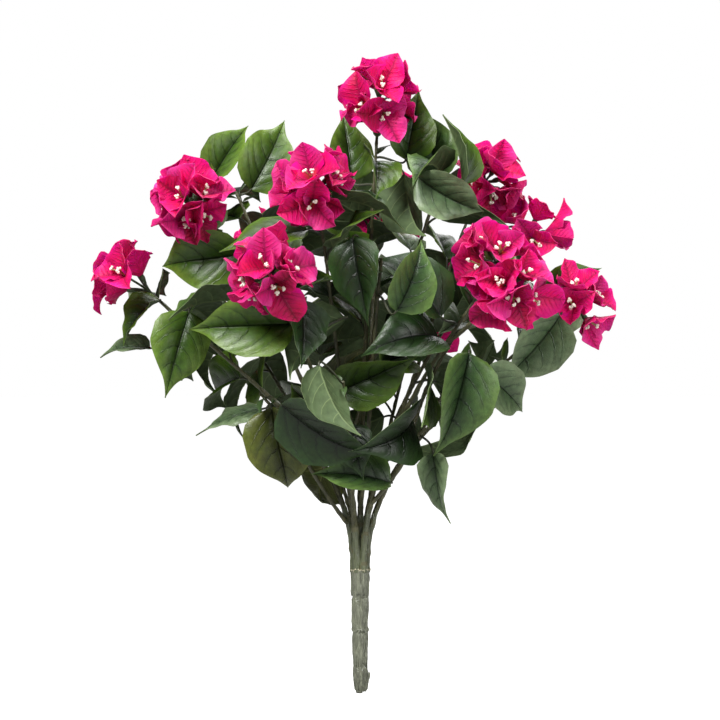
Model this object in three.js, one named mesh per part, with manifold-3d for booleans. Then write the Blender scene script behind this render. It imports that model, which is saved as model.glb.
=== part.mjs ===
// An artificial bougainvillea bush: one moulded stem with a flat foot, seven boughs that spread from
// its top, side boughs that fork from those, and at the end of each bough a spray of heart-shaped
// leaves, most with a head of three-bracted magenta blossoms. Millimetres, +Z up, the origin in the
// middle of the stem's foot. +X is the right of the bush as it is looked at and -Y faces the viewer.
import * as THREE from "three";
import { mergeVertices } from "three/addons/utils/BufferGeometryUtils.js";
import Module from "manifold-3d";

const wasm = await Module();
wasm.setup();

// The stem: narrow at its foot, wide where the boughs leave it, with a moulded ring at each joint.
const STEM_HEIGHT = 108;
const STEM_FOOT_RADIUS = 5.3;
const STEM_TOP_RADIUS = 8.1;
const STEM_JOINTS = [24, 54, 84];
const STEM_GROOVE = 0.6;
const STEM_SIDES = 16;

// The boughs: six stand in a ring round the seventh on top of the stem.
const SEAT_GAP = 0.35;
const RING_RADIUS = 5.4;
const BOUGH_RADIUS = 2.5;
const SIDE_BOUGH_RADIUS = 1.9;
const TWIG_RADIUS = 1.2;
const BOUGH_SIDES = 6;
const TWIG_SIDES = 3;
const STALK_RADIUS = 0.9;
const STALK_THICKNESS = 1.4;
const LIMB_STEP = 30;

// The blades: half-widths along a leaf and along a bract, as [share of the length, share of the half-
// width].
const LEAF_OUTLINE = [
  [0, 0], [0.04, 0.46], [0.12, 0.8], [0.25, 0.97], [0.37, 1], [0.5, 0.93], [0.64, 0.73], [0.75, 0.49],
  [0.84, 0.27], [0.92, 0.12], [1, 0],
];
const BRACT_OUTLINE = [
  [0, 0], [0.08, 0.3], [0.25, 0.74], [0.45, 1], [0.62, 0.96], [0.8, 0.62], [0.92, 0.26], [1, 0],
];
const LEAF_STATIONS = [0.13, 0.4, 0.76];
const BRACT_STATIONS = [0.5];
const LEAF_THICKNESS = 1.2;
const BRACT_THICKNESS = 0.8;
const LEAF_WIDTH_RATIO = 0.74;
const BRACT_LENGTH = 33;
const BRACT_WIDTH = 28;
const BRACTS = 3;
const BRACT_OPENING = THREE.MathUtils.degToRad(38);
const BLOSSOM_TILTS = [0.85, 1.1];
const BLOSSOM_TRIES = 8;
const PEDICEL_LENGTH = 15;
const HEART_RADIUS = 3.2;
const HEART_THICKNESS = 1.2;
const PEDICEL_RADIUS = 1;
const PEDICEL_SIDES = 3;

// The crown, the space that it fills above a cone with its point on the stem, and how far a leaf stays
// from all that doesn't carry it.
const CROWN_CENTRE = new THREE.Vector3(0, 0, 300);
const CROWN_SPACE = { middle: new THREE.Vector3(-8, 0, 322), reach: new THREE.Vector3(222, 185, 178) };
const CONE_FOOT = 120;
const CONE_SLOPE = 0.85;
const LEAF_CLEARANCE = 5.2;
const TWIG_CLEARANCE = 3;
const TRIES = 40;
const GOLDEN_ANGLE = THREE.MathUtils.degToRad(137.5);
const LEAF_LENGTHS = [62, 88];
const SHOWN_BEND = 1.05;
const RULED_BEND = 1.6;
const STALK_LENGTHS = [12, 22];
const LAST_LEAF = 0.97;
const STALK_PLACES = 24;
const STALK_STEP = 5;
const SHOWN_TURNS = [0, 12, -12, 24, -24];
const SHOWN_SHIFTS = [0, -12, 12, -24, 24, 36];

// One spray each. foot says where its bough starts: a place in the ring on the stem, in degrees, the middle
// of the ring, or a share of the way along another bough. hub is where its blossoms meet, and face the way
// they look, with a spread under 1 where they stand closer together. bare is the share of the limb that is
// bough. leaves is how many the rule deals out.
const SPRAYS = [
  {
    name: "top", foot: "middle", hub: [16, -5, 509], face: [0.1, -0.85, 0.5],
    blossoms: 5, pedicel: 19, bare: 0.4, leaves: 7,
  },
  {
    name: "left", foot: 180, hub: [-178, -25, 346], face: [-0.8, -0.2, 0.55],
    blossoms: 3, pedicel: 31, spread: 0.5, bare: 0.45, leaves: 6,
  },
  {
    name: "front_left", foot: 240, hub: [-72, -108, 358], face: [-0.2, -0.9, 0.35],
    blossoms: 5, bare: 0.4, leaves: 4,
  },
  {
    name: "front_right", foot: 300, hub: [114, -70, 368], face: [0.1, -0.85, 0.5],
    blossoms: 5, bare: 0.36, leaves: 5,
  },
  {
    name: "right", foot: 0, hub: [189, 5, 336], face: [0.4, -0.85, 0.1],
    blossoms: 2, spread: 0.9, bare: 0.42, leaves: 6,
  },
  {
    name: "back_right", foot: 60, hub: [95, 110, 350], face: [0.5, 0.7, 0.4],
    blossoms: 3, bare: 0.4, leaves: 8,
  },
  {
    name: "back_left", foot: 120, hub: [-80, 105, 392], face: [-0.4, 0.7, 0.5],
    blossoms: 3, bare: 0.4, leaves: 8,
  },
  {
    name: "upper_left", foot: ["left", 0.3], hub: [-142, -40, 420], face: [-0.35, -0.8, 0.35],
    blossoms: 5, pedicel: 14, bare: 0.4, leaves: 6,
  },
  {
    name: "high_left", foot: ["upper_left", 0.35], hub: [-110, 5, 440], face: [0, -1, 0],
    blossoms: 0, bare: 0.3, leaves: 4,
  },
  {
    name: "front_top", foot: ["top", 0.22], hub: [-38, -70, 430], face: [-0.1, -0.85, 0.5],
    blossoms: 5, bare: 0.45, leaves: 5,
  },
  {
    name: "right_low", foot: ["front_right", 0.72], hub: [124, -88, 350], face: [0.05, -0.9, -0.35],
    blossoms: 4, spread: 0.85, bare: 0.3, leaves: 1,
  },
  {
    name: "upper_right", foot: ["back_right", 0.3], hub: [110, 36, 446], face: [0.35, -0.75, 0.5],
    blossoms: 4, pedicel: 14, bare: 0.42, leaves: 7,
  },
  {
    name: "high_right", foot: ["top", 0.4], hub: [76, 0, 452], face: [0, -1, 0],
    blossoms: 0, bare: 0.3, leaves: 6,
  },
  {
    name: "right_high", foot: ["right", 0.35], hub: [150, 34, 402], face: [0.45, -0.7, 0.5],
    blossoms: 3, bare: 0.4, leaves: 5,
  },
  {
    name: "back_top", foot: ["back_left", 0.3], hub: [20, 105, 430], face: [0.1, 0.7, 0.6],
    blossoms: 3, bare: 0.42, leaves: 8,
  },
  {
    name: "back_low", foot: ["back_right", 0.2], hub: [56, 142, 328], face: [0.2, 0.9, 0.2],
    blossoms: 3, bare: 0.35, leaves: 7,
  },
  {
    name: "far_back_left", foot: ["back_left", 0.2], hub: [-122, 98, 330], face: [-0.3, 0.9, 0.3],
    blossoms: 3, bare: 0.4, leaves: 7,
  },
  {
    name: "low_left", foot: ["left", 0.12], hub: [-85, -56, 262], face: [-0.5, -0.6, 0],
    blossoms: 0, bare: 0.35, leaves: 4,
  },
  {
    name: "low_right", foot: ["front_right", 0.18], hub: [92, -62, 290], face: [0.5, -0.6, 0],
    blossoms: 0, bare: 0.35, leaves: 4,
  },
  {
    name: "low_front", foot: ["front_left", 0.12], hub: [-14, -92, 272], face: [0, -1, 0],
    blossoms: 0, bare: 0.35, leaves: 3,
  },
  {
    name: "middle_front", foot: ["top", 0.12], hub: [18, -88, 375], face: [0.2, -0.9, 0.2],
    blossoms: 0, bare: 0.4, leaves: 4,
  },
  {
    name: "low_back", foot: ["back_left", 0.1], hub: [-45, 108, 268], face: [-0.4, 0.8, 0],
    blossoms: 0, bare: 0.35, leaves: 7,
  },
];

// The large leaves that the viewer sees best, by spray: where the blade starts, its angle in the view and
// its lean towards the viewer in degrees, its length, and its turn about its own rib.
const SHOWN_LEAVES = {
  top: [
    [-7, 8, 446, 96, 0, 64, 10],
    [38, -22, 450, -86, 5, 74, 168],
    [40, -2, 464, 79, 5, 62, 10],
  ],
  left: [
    [-145, -48, 331, -106, 18, 72, -5],
    [-172, -32, 341, -155, 5, 48, 72],
    [-182, -5, 300, 171, 0, 46, 62],
  ],
  front_left: [
    [-55, -108, 320, -178, 12, 86, 8],
    [-48, -96, 340, -86, 30, 58, -30],
    [-12, -100, 325, -152, 6, 80, 118],
    [-66, -104, 290, 19, 10, 92, -115],
  ],
  front_right: [
    [68, -70, 326, 125, 10, 82, 40],
    [92, -54, 366, 139, 10, 70, 45],
  ],
  right: [
    [172, -22, 328, -124, 10, 74, -12],
    [163, 18, 351, 19, 0, 52, 20],
  ],
  upper_left: [
    [-99, -52, 380, -173, 5, 80, -8],
  ],
  high_left: [
    [-95, 0, 438, 60, 0, 72, 10],
    [-130, 20, 450, 60, 0, 58, -10],
  ],
  front_top: [
    [-52, -10, 402, -150, 5, 66, 40],
  ],
  high_right: [
    [71, 14, 448, 107, -5, 68, -15],
    [88, -8, 441, 86, 0, 60, 72],
    [86, 8, 470, 136, 0, 52, 60],
    [50, -36, 446, -40, 10, 66, 30],
    [62, -46, 460, -172, 10, 60, 150],
  ],
  low_left: [
    [-84, -30, 248, -170, 15, 58, 58],
    [-75, -42, 250, -80, 8, 82, 12],
    [-66, -70, 253, -43, 10, 90, 48],
  ],
  low_right: [
    [91, -80, 296, -102, 10, 90, -18],
    [92, -10, 252, -8, 0, 52, 76],
    [44, -10, 213, 8, 0, 76, 66],
    [62, -50, 212, -84, 10, 60, 40],
  ],
  low_front: [
    [-34, -98, 286, -76, 10, 70, 118],
    [-8, -84, 236, -78, 15, 46, 0],
    [26, -62, 186, 160, 20, 64, 66],
  ],
  middle_front: [
    [-6, -84, 392, -84, 15, 70, 15],
    [-12, -58, 413, 27, 0, 86, 62],
    [30, -84, 330, 60, 15, 62, 30],
  ],
};

const UP = new THREE.Vector3(0, 0, 1);
const VIEWER = new THREE.Vector3(0, -1, 0);
const { degToRad, lerp } = THREE.MathUtils;
const vector = (x, y, z) => new THREE.Vector3(x, y, z);

// The sum of some vectors, each times its share.
function sum(...terms) {
  return terms.reduce((total, [v, share]) => total.addScaledVector(v, share), vector(0, 0, 0));
}

// The same numbers between 0 and 1 for the same seed, on any machine.
function dice(seed) {
  const turns = 4294967296;
  let state = (seed * 2654435 + 40503) % turns;
  const roll = () => {
    state = (state * 1664525 + 1013904223) % turns;
    return state / turns;
  };
  roll();
  roll();
  return roll;
}

// What is left of v across a unit direction, as a unit vector.
const across = (v, direction) => v.clone().addScaledVector(direction, -v.dot(direction)).normalize();

function halfWidth(outline, share) {
  const next = outline.findIndex(([place]) => place >= share);
  if (next <= 0) return 0;
  const [[from, low], [to, high]] = [outline[next - 1], outline[next]];
  return lerp(low, high, (share - from) / (to - from));
}

// Where a limb runs: upright out of the stem, or forking off its parent, then arching over to its hub.
function limbCurve(spray, limbs) {
  const hub = vector(...spray.hub);
  let start;
  let heading;
  if (Array.isArray(spray.foot)) {
    const parent = limbs.get(spray.foot[0]).curve;
    start = parent.getPoint(spray.foot[1]);
    const along = parent.getTangent(spray.foot[1]);
    heading = sum([along, 1], [across(hub.clone().sub(start), along), 0.7]).normalize();
  } else {
    const turn = spray.foot === "middle" ? 0 : degToRad(spray.foot);
    const out = spray.foot === "middle" ? 0 : RING_RADIUS;
    start = vector(out * Math.cos(turn), out * Math.sin(turn), STEM_HEIGHT + SEAT_GAP);
    heading = UP;
  }
  const reach = hub.distanceTo(start);
  const arrival = sum([hub.clone().sub(start).normalize(), 1], [UP, -0.25]).normalize();
  return new THREE.CubicBezierCurve3(
    start,
    start.clone().addScaledVector(heading, 0.38 * reach),
    hub.clone().addScaledVector(arrival, -0.3 * reach),
    hub,
  );
}

const limbRadius = (limb, share) => lerp(limb.radius, TWIG_RADIUS, share);
const firstLeaf = (limb) => limb.spray.bare + 0.04;

// A closed tube along a stretch of a curve, with a radius for each share of the way.
function tubeGeometry(curve, from, to, radiusAt, sides, steps) {
  const ringFrames = curve.computeFrenetFrames(steps * 4, false);
  const positions = [];
  for (let ring = 0; ring <= steps; ring += 1) {
    const share = lerp(from, to, ring / steps);
    const centre = curve.getPoint(share);
    const tangent = curve.getTangent(share);
    const frame = Math.min(steps * 4, Math.round(share * steps * 4));
    const first = across(ringFrames.normals[frame], tangent);
    const second = tangent.clone().cross(first);
    const radius = radiusAt(share);
    for (let side = 0; side < sides; side += 1) {
      const turn = (2 * Math.PI * side) / sides;
      const offset = sum([first, Math.cos(turn)], [second, Math.sin(turn)]);
      positions.push(...centre.clone().addScaledVector(offset, radius));
    }
  }
  positions.push(...curve.getPoint(from), ...curve.getPoint(to));
  const faces = [];
  const foot = (steps + 1) * sides;
  const end = foot + 1;
  const last = steps * sides;
  for (let side = 0; side < sides; side += 1) {
    const next = (side + 1) % sides;
    for (let ring = 0; ring < steps; ring += 1) {
      const low = ring * sides;
      const high = low + sides;
      faces.push(low + side, low + next, high + next, low + side, high + next, high + side);
    }
    faces.push(foot, next, side, end, last + side, last + next);
  }
  const geometry = new THREE.BufferGeometry();
  geometry.setAttribute("position", new THREE.Float32BufferAttribute(positions, 3));
  geometry.setIndex(faces);
  return geometry;
}

// A point of a blade: u runs from its base to its tip and v from edge to edge. The rib bends away from
// the face, the blade twists round it, the two halves fold up from it, one more than the other, and the
// edges ripple.
function bladePoint(blade, u, v) {
  const spun = blade.twist * u;
  const face = sum([blade.face, Math.cos(spun)], [blade.side, Math.sin(spun)]);
  const side = sum([blade.side, Math.cos(spun)], [blade.face, -Math.sin(spun)]);
  const fold = blade.fold + Math.sign(v) * blade.skew;
  const turned = blade.bend * u;
  const forward = Math.abs(blade.bend) < 1e-6 ? u : Math.sin(turned) / blade.bend;
  const sunk = Math.abs(blade.bend) < 1e-6 ? 0 : (1 - Math.cos(turned)) / blade.bend;
  const normal = sum([face, Math.cos(turned)], [blade.axis, Math.sin(turned)]);
  const half = (blade.width / 2) * halfWidth(blade.outline, u) * Math.abs(v);
  const wave = Math.sin(2 * Math.PI * (1.3 * u + blade.phase) + (v > 0 ? 2 : 0));
  return {
    normal,
    point: sum(
      [blade.base, 1],
      [blade.axis, blade.length * forward],
      [blade.face, -blade.length * sunk],
      [side, Math.sign(v) * half * Math.cos(fold)],
      [normal, half * Math.sin(fold) + blade.ripple * wave * v * v * halfWidth(blade.outline, u)],
    ),
  };
}

// The faces that fill the strip between two rows of spots, each row running from left to right.
function stripFaces(near, far) {
  const faces = [];
  let [i, j] = [0, 0];
  while (i < near.length - 1 || j < far.length - 1) {
    const takeFar = j < far.length - 1 && (j + 1) * (near.length - 1) <= (i + 1) * (far.length - 1);
    if (takeFar || i === near.length - 1) {
      faces.push([near[i], far[j], far[j + 1]]);
      j += 1;
    } else {
      faces.push([near[i], far[j], near[i + 1]]);
      i += 1;
    }
  }
  return faces;
}

// A thin closed plate: the upper faces, the same faces below, and a wall round the rim, which runs out
// to nothing at the spots that are a sharp edge.
function plateGeometry(spots, upper, rim) {
  const positions = [];
  const place = (spot, sign) => {
    positions.push(...spot.point.clone().addScaledVector(spot.normal, (sign * spot.thick) / 2));
    return positions.length / 3 - 1;
  };
  const above = spots.map((spot) => place(spot, 1));
  const below = spots.map((spot, k) => (spot.thick > 0 ? place(spot, -1) : above[k]));
  const faces = upper.map((face) => face.map((k) => above[k]));
  faces.push(...upper.map((face) => face.map((k) => below[k]).reverse()));
  rim.forEach((here, k) => {
    const there = rim[(k + 1) % rim.length];
    faces.push([above[there], above[here], below[here]], [above[there], below[here], below[there]]);
  });
  const geometry = new THREE.BufferGeometry();
  geometry.setAttribute("position", new THREE.Float32BufferAttribute(positions, 3));
  geometry.setIndex(faces.filter((face) => new Set(face).size === face.length).flat());
  return geometry;
}

// The rows of a blade past its base: a thick spot on the rib between two sharp edges at each station,
// then the tip.
function bladeRows(blade, stations, thick) {
  const spot = (u, v) => ({ ...bladePoint(blade, u, v), thick: v === 0 && u < 1 ? thick : 0 });
  return [...stations.map((u) => [spot(u, -1), spot(u, 0), spot(u, 1)]), [spot(1, 0)]];
}

// A leaf and its stalk as one plate: a narrow strip from inside the twig, then the blade.
function leafGeometry(leaf) {
  const way = leaf.base.clone().sub(leaf.foot).normalize();
  const level = across(Math.abs(way.dot(leaf.side)) < 0.85 ? leaf.side : leaf.axis, way);
  const stalkRow = (point, side, normal) => [-1, 1].map((v) => ({
    point: sum([point, 1], [side, v * STALK_RADIUS]),
    normal,
    thick: STALK_THICKNESS,
  }));
  const rows = [
    stalkRow(leaf.foot, level, way.clone().cross(level)),
    stalkRow(leaf.base, leaf.side, leaf.face),
    ...bladeRows(leaf, LEAF_STATIONS, LEAF_THICKNESS),
  ];
  let count = 0;
  const numbered = rows.map((row) => row.map(() => count++));
  const upper = numbered.slice(1).flatMap((row, k) => stripFaces(numbered[k], row));
  const rim = [
    ...numbered.map((row) => row[0]),
    ...numbered.toReversed().slice(1).map((row) => row.at(-1)),
  ];
  return plateGeometry(rows.flat(), upper, rim);
}

// A blossom as one plate: three bracts on the sides of a small triangle round its heart.
function blossomGeometry(blossom) {
  const corner = (bract) => bract.outward.clone().applyAxisAngle(blossom.axis, -Math.PI / BRACTS);
  const spots = blossom.bracts.map((bract) => ({
    point: blossom.heart.clone().addScaledVector(corner(bract), HEART_RADIUS),
    normal: blossom.axis,
    thick: HEART_THICKNESS,
  }));
  const upper = [[0, 1, 2]];
  const rim = [];
  blossom.bracts.forEach((bract, k) => {
    let near = [k, (k + 1) % BRACTS];
    const rights = [];
    rim.push(near[0]);
    for (const row of bladeRows(bract, BRACT_STATIONS, BRACT_THICKNESS)) {
      const far = row.map((_, column) => spots.length + column);
      spots.push(...row);
      upper.push(...stripFaces(near, far));
      rim.push(far[0]);
      if (far.length > 1) rights.unshift(far.at(-1));
      near = far;
    }
    rim.push(...rights);
  });
  return plateGeometry(spots, upper, rim);
}

// The places where a blade could meet something else.
function bladeSpots(blade, alongCount, acrossCount) {
  const spots = [];
  for (let row = 1; row <= alongCount; row += 1)
    for (let column = 0; column < acrossCount; column += 1)
      spots.push(bladePoint(blade, row / alongCount, (2 * column) / (acrossCount - 1) - 1).point);
  return spots;
}

// Everything that has been grown so far, in a grid of small cells, so that a new leaf can be kept clear
// of it.
class Neighbours {
  constructor(cell) {
    this.cell = cell;
    this.cells = new Map();
  }

  place(point) {
    return [point.x, point.y, point.z].map((value) => Math.floor(value / this.cell));
  }

  add(points, owner, radius = 0) {
    for (const point of points) {
      const key = this.place(point).join();
      if (!this.cells.has(key)) this.cells.set(key, []);
      this.cells.get(key).push({ point, owner, radius });
    }
  }

  near(point, owners) {
    const [x, y, z] = this.place(point);
    for (let i = x - 1; i <= x + 1; i += 1)
      for (let j = y - 1; j <= y + 1; j += 1)
        for (let k = z - 1; k <= z + 1; k += 1)
          for (const other of this.cells.get([i, j, k].join()) ?? []) {
            const clearance = other.radius ? other.radius + TWIG_CLEARANCE : LEAF_CLEARANCE;
            if (!owners.includes(other.owner) && other.point.distanceTo(point) < clearance) return true;
          }
    return false;
  }
}

function inCrown(point) {
  const offset = point.clone().sub(CROWN_SPACE.middle).divide(CROWN_SPACE.reach);
  return offset.length() <= 1 && point.z > CONE_FOOT + CONE_SLOPE * Math.hypot(point.x, point.y);
}

// A leaf: the foot of its stalk on the twig, then the base, the rib and the face of its blade.
function makeLeaf(foot, base, axis, face, length, shape) {
  const upright = across(face, axis);
  return {
    foot,
    base,
    axis,
    face: upright,
    side: upright.clone().cross(axis),
    length,
    width: length * LEAF_WIDTH_RATIO,
    outline: LEAF_OUTLINE,
    ...shape,
  };
}

const leafShape = (roll, mostBend) => ({
  bend: lerp(0.15, mostBend, roll()),
  fold: lerp(0.08, 0.6, roll()),
  ripple: lerp(0.8, 2.6, roll()),
  phase: roll(),
  twist: lerp(-0.7, 0.7, roll()),
  skew: lerp(-0.25, 0.25, roll()),
});

// A leaf placed as it shows, on a stalk from the nearest place on the twig.
function shownLeaf(limb, [x, y, z, angle, lean, length, turn], seed) {
  const [flat, towards] = [degToRad(angle), degToRad(lean)];
  const axis = sum(
    [vector(Math.cos(flat), 0, Math.sin(flat)), Math.cos(towards)],
    [VIEWER, Math.sin(towards)],
  );
  const base = vector(x, y, z);
  const face = across(VIEWER, axis).applyAxisAngle(axis, degToRad(turn));
  let foot = limb.curve.getPoint(LAST_LEAF);
  for (let k = 0; k < STALK_PLACES; k += 1) {
    const place = limb.curve.getPoint(lerp(firstLeaf(limb), LAST_LEAF, k / STALK_PLACES));
    if (place.distanceTo(base) < foot.distanceTo(base)) foot = place;
  }
  return makeLeaf(foot, base, axis, face, length, leafShape(dice(seed), SHOWN_BEND));
}

// A leaf by rule: the next one round the twig by the golden angle, reaching out and hanging a little,
// its face to the light and away from the middle of the crown.
function ruledLeaf(limb, share, order, seed) {
  const roll = dice(seed);
  const foot = limb.curve.getPoint(share);
  const along = limb.curve.getTangent(share);
  const first = across(Math.abs(along.z) > 0.95 ? VIEWER : UP, along);
  const turn = limb.phase + order * GOLDEN_ANGLE + lerp(-0.7, 0.7, roll());
  const sideways = first.applyAxisAngle(along, turn);
  const outward = foot.clone().sub(CROWN_CENTRE).normalize();
  const axis = sum(
    [sideways, 1], [outward, lerp(0.2, 0.7, roll())], [along, 0.25], [UP, lerp(-0.75, 0.1, roll())],
  ).normalize();
  const face = sum(
    [outward, 0.9], [UP, 0.55], [vector(roll() - 0.5, roll() - 0.5, roll() - 0.5), 0.9],
  );
  const length = lerp(...LEAF_LENGTHS, roll()) * lerp(1.08, 0.86, share);
  const out = sum([axis, 1], [along, 0.6]).normalize();
  const base = foot.clone().addScaledVector(out, lerp(...STALK_LENGTHS, roll()));
  return makeLeaf(foot, base, axis, face, length, leafShape(roll, RULED_BEND));
}

// The places on a leaf and along its stalk, short of the twig, where it could meet something else.
function leafSpots(leaf) {
  const stalk = leaf.base.distanceTo(leaf.foot);
  const steps = Math.ceil(stalk / STALK_STEP);
  const along = Array.from({ length: steps }, (_, k) => leaf.base.clone().lerp(leaf.foot, k / steps));
  return [...bladeSpots(leaf, 12, 9), ...along];
}

// A head of blossoms: one looks straight out of the hub and the others stand round it, each on its own
// pedicel and turned so that its bracts pass between those of its neighbours, or left out where another
// limb is in its way.
function blossomHead(spray, neighbours, seed) {
  const roll = dice(seed);
  const hub = vector(...spray.hub);
  const face = vector(...spray.face).normalize();
  const first = across(Math.abs(face.z) > 0.9 ? VIEWER : UP, face);
  const blossoms = [];
  const taken = [];
  const own = [spray.name, `${spray.name} blossoms`];
  const around = spray.blossoms > 3 ? spray.blossoms - 1 : spray.blossoms;
  for (let order = 0; order < spray.blossoms; order += 1) {
    const tilt = order < around ? (spray.spread ?? 1) * lerp(...BLOSSOM_TILTS, roll()) : 0;
    const round = (2 * Math.PI * (order + 0.4 * roll())) / around;
    const sideways = first.clone().applyAxisAngle(face, round);
    const axis = sum([face, Math.cos(tilt)], [sideways, Math.sin(tilt)]);
    const reach = order < around ? lerp(0.85, 1.1, roll()) : 1.3;
    const pedicel = reach * (spray.pedicel ?? PEDICEL_LENGTH);
    const heart = hub.clone().addScaledVector(axis, pedicel);
    const start = across(sideways, axis);
    let best = { room: -1 };
    for (let attempt = 0; attempt < BLOSSOM_TRIES; attempt += 1) {
      const turn = (2 * Math.PI * attempt) / (BRACTS * BLOSSOM_TRIES);
      const turned = start.clone().applyAxisAngle(axis, turn);
      const bracts = bractBlades(heart, axis, turned, roll);
      const spots = bracts.flatMap((bract) => bladeSpots(bract, 5, 5));
      if (spots.some((spot) => neighbours.near(spot, own))) continue;
      const gaps = spots.flatMap((spot) => taken.map((other) => spot.distanceTo(other)));
      const room = Math.min(LEAF_CLEARANCE, ...gaps);
      if (room > best.room) best = { room, bracts, spots };
    }
    if (!best.bracts) continue;
    taken.push(...best.spots);
    neighbours.add(best.spots, own[1]);
    blossoms.push({ hub, heart, axis, bracts: best.bracts });
  }
  return blossoms;
}

// The three bracts of a blossom stand round its axis, open like a cup and turn back at their tips.
function bractBlades(heart, axis, start, roll) {
  return Array.from({ length: BRACTS }, (_, k) => {
    const outward = start.clone().applyAxisAngle(axis, (2 * Math.PI * k) / BRACTS);
    const opening = BRACT_OPENING * lerp(0.7, 1.3, roll());
    const rib = sum([axis, Math.cos(opening)], [outward, Math.sin(opening)]);
    const face = sum([axis, Math.sin(opening)], [outward, -Math.cos(opening)]);
    const size = lerp(0.88, 1.08, roll());
    return {
      base: heart,
      outward,
      axis: rib,
      face,
      side: face.clone().cross(rib),
      length: BRACT_LENGTH * size,
      width: BRACT_WIDTH * size,
      outline: BRACT_OUTLINE,
      bend: lerp(0.1, 0.95, roll()),
      fold: lerp(0.05, 0.3, roll()),
      ripple: lerp(0.6, 1.8, roll()),
      phase: roll(),
      twist: lerp(-0.35, 0.35, roll()),
      skew: lerp(-0.12, 0.12, roll()),
    };
  });
}

// The whole plant as data: limbs, blossoms and leaves, with every leaf that would leave the crown or
// come near another limb, leaf or blossom turned to another side, and left out if no side is free.
function growPlant() {
  const limbs = new Map();
  const neighbours = new Neighbours(LEAF_CLEARANCE);
  SPRAYS.forEach((spray, index) => {
    const curve = limbCurve(spray, limbs);
    const radius = Array.isArray(spray.foot) ? SIDE_BOUGH_RADIUS : BOUGH_RADIUS;
    const limb = { spray, index, curve, radius, phase: index * 1.7, leaves: [], blossoms: [] };
    limbs.set(spray.name, limb);
    const steps = Math.ceil(curve.getLength() / 4);
    for (let step = 0; step <= steps; step += 1)
      neighbours.add([curve.getPoint(step / steps)], spray.name, limbRadius(limb, step / steps));
  });
  for (const limb of limbs.values()) {
    limb.blossoms = blossomHead(limb.spray, neighbours, 1000 + limb.index);
  }
  const settle = (limb, leaves, inside) => {
    for (const leaf of leaves) {
      const spots = leafSpots(leaf);
      const blocked = (spot) => !inside(spot) || neighbours.near(spot, [limb.spray.name]);
      if (spots.some(blocked)) continue;
      limb.leaves.push(leaf);
      neighbours.add(spots, `${limb.spray.name} leaf`);
      return;
    }
  };
  for (const limb of limbs.values())
    (SHOWN_LEAVES[limb.spray.name] ?? []).forEach((row, order) => {
      const moved = SHOWN_SHIFTS.flatMap((shift) =>
        SHOWN_TURNS.map((turn) => row.with(1, row[1] + shift).with(-1, row.at(-1) + turn)),
      );
      const seed = 2000 + 20 * limb.index + order;
      settle(limb, moved.map((place) => shownLeaf(limb, place, seed)), () => true);
    });
  for (const limb of limbs.values()) {
    for (let order = 0; order < limb.spray.leaves; order += 1) {
      const share = lerp(firstLeaf(limb), LAST_LEAF, (order + 0.5) / limb.spray.leaves);
      const seed = 10000 * (limb.index + 1) + 100 * order;
      const trial = (_, k) => ruledLeaf(limb, share, order + 2.4 * k, seed + k);
      const tries = Array.from({ length: TRIES }, trial);
      settle(limb, tries, inCrown);
    }
  }
  return limbs;
}

function solidOf(geometry) {
  const bare = new THREE.BufferGeometry();
  bare.setAttribute("position", geometry.getAttribute("position"));
  if (geometry.index) bare.setIndex(geometry.index);
  const merged = mergeVertices(bare, 1e-4);
  return new wasm.Manifold(
    new wasm.Mesh({
      numProp: 3,
      vertProperties: merged.getAttribute("position").array,
      triVerts: new Uint32Array(merged.index.array),
    }),
  );
}

function geometryOf(solid) {
  const mesh = solid.getMesh();
  const geometry = new THREE.BufferGeometry();
  geometry.setAttribute("position", new THREE.BufferAttribute(mesh.vertProperties, 3));
  geometry.setIndex(new THREE.BufferAttribute(mesh.triVerts, 1));
  geometry.computeVertexNormals();
  return geometry;
}

// A straight rod between two points.
function rod(from, to, radius, sides) {
  return solidOf(tubeGeometry(new THREE.LineCurve3(from, to), 0, 1, () => radius, sides, 1));
}

function blossomSolids(blossom) {
  const above = blossom.heart.clone().addScaledVector(blossom.axis, HEART_THICKNESS);
  return [rod(blossom.hub, above, PEDICEL_RADIUS, PEDICEL_SIDES), solidOf(blossomGeometry(blossom))];
}

// The stretch of a limb from one share of its length to another, optionally fatter, as a solid.
function stretchSolid(limb, from, to, sides, extra = 0) {
  const steps = Math.max(2, Math.ceil(((to - from) * limb.curve.getLength()) / LIMB_STEP));
  return solidOf(
    tubeGeometry(limb.curve, from, to, (share) => limbRadius(limb, share) + extra, sides, steps),
  );
}

// A limb is bough for its bare share and twig, inside the spray, for the rest.
const boughStretch = (limb, extra) => stretchSolid(limb, 0, limb.spray.bare, BOUGH_SIDES, extra);
const twigStretch = (limb, extra) =>
  stretchSolid(limb, limb.spray.bare + SEAT_GAP / limb.curve.getLength(), 1, TWIG_SIDES, extra);

// A solid without the loose scraps that a cut or a join left beside it.
function largestBody(solid) {
  return solid.decompose().reduce((kept, piece) => (piece.volume() > kept.volume() ? piece : kept));
}

// A side bough is cut back to the skin of the limb that it forks from.
function boughSolid(limb, limbs) {
  const bough = boughStretch(limb);
  if (!Array.isArray(limb.spray.foot)) return bough;
  const parent = limbs.get(limb.spray.foot[0]);
  const skin = boughStretch(parent, SEAT_GAP).add(twigStretch(parent, SEAT_GAP));
  return largestBody(bough.subtract(skin));
}

function spraySolid(limb) {
  const pieces = [twigStretch(limb)];
  limb.leaves.forEach((leaf) => pieces.push(solidOf(leafGeometry(leaf))));
  limb.blossoms.forEach((blossom) => pieces.push(...blossomSolids(blossom)));
  return largestBody(wasm.Manifold.union(pieces));
}

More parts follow.
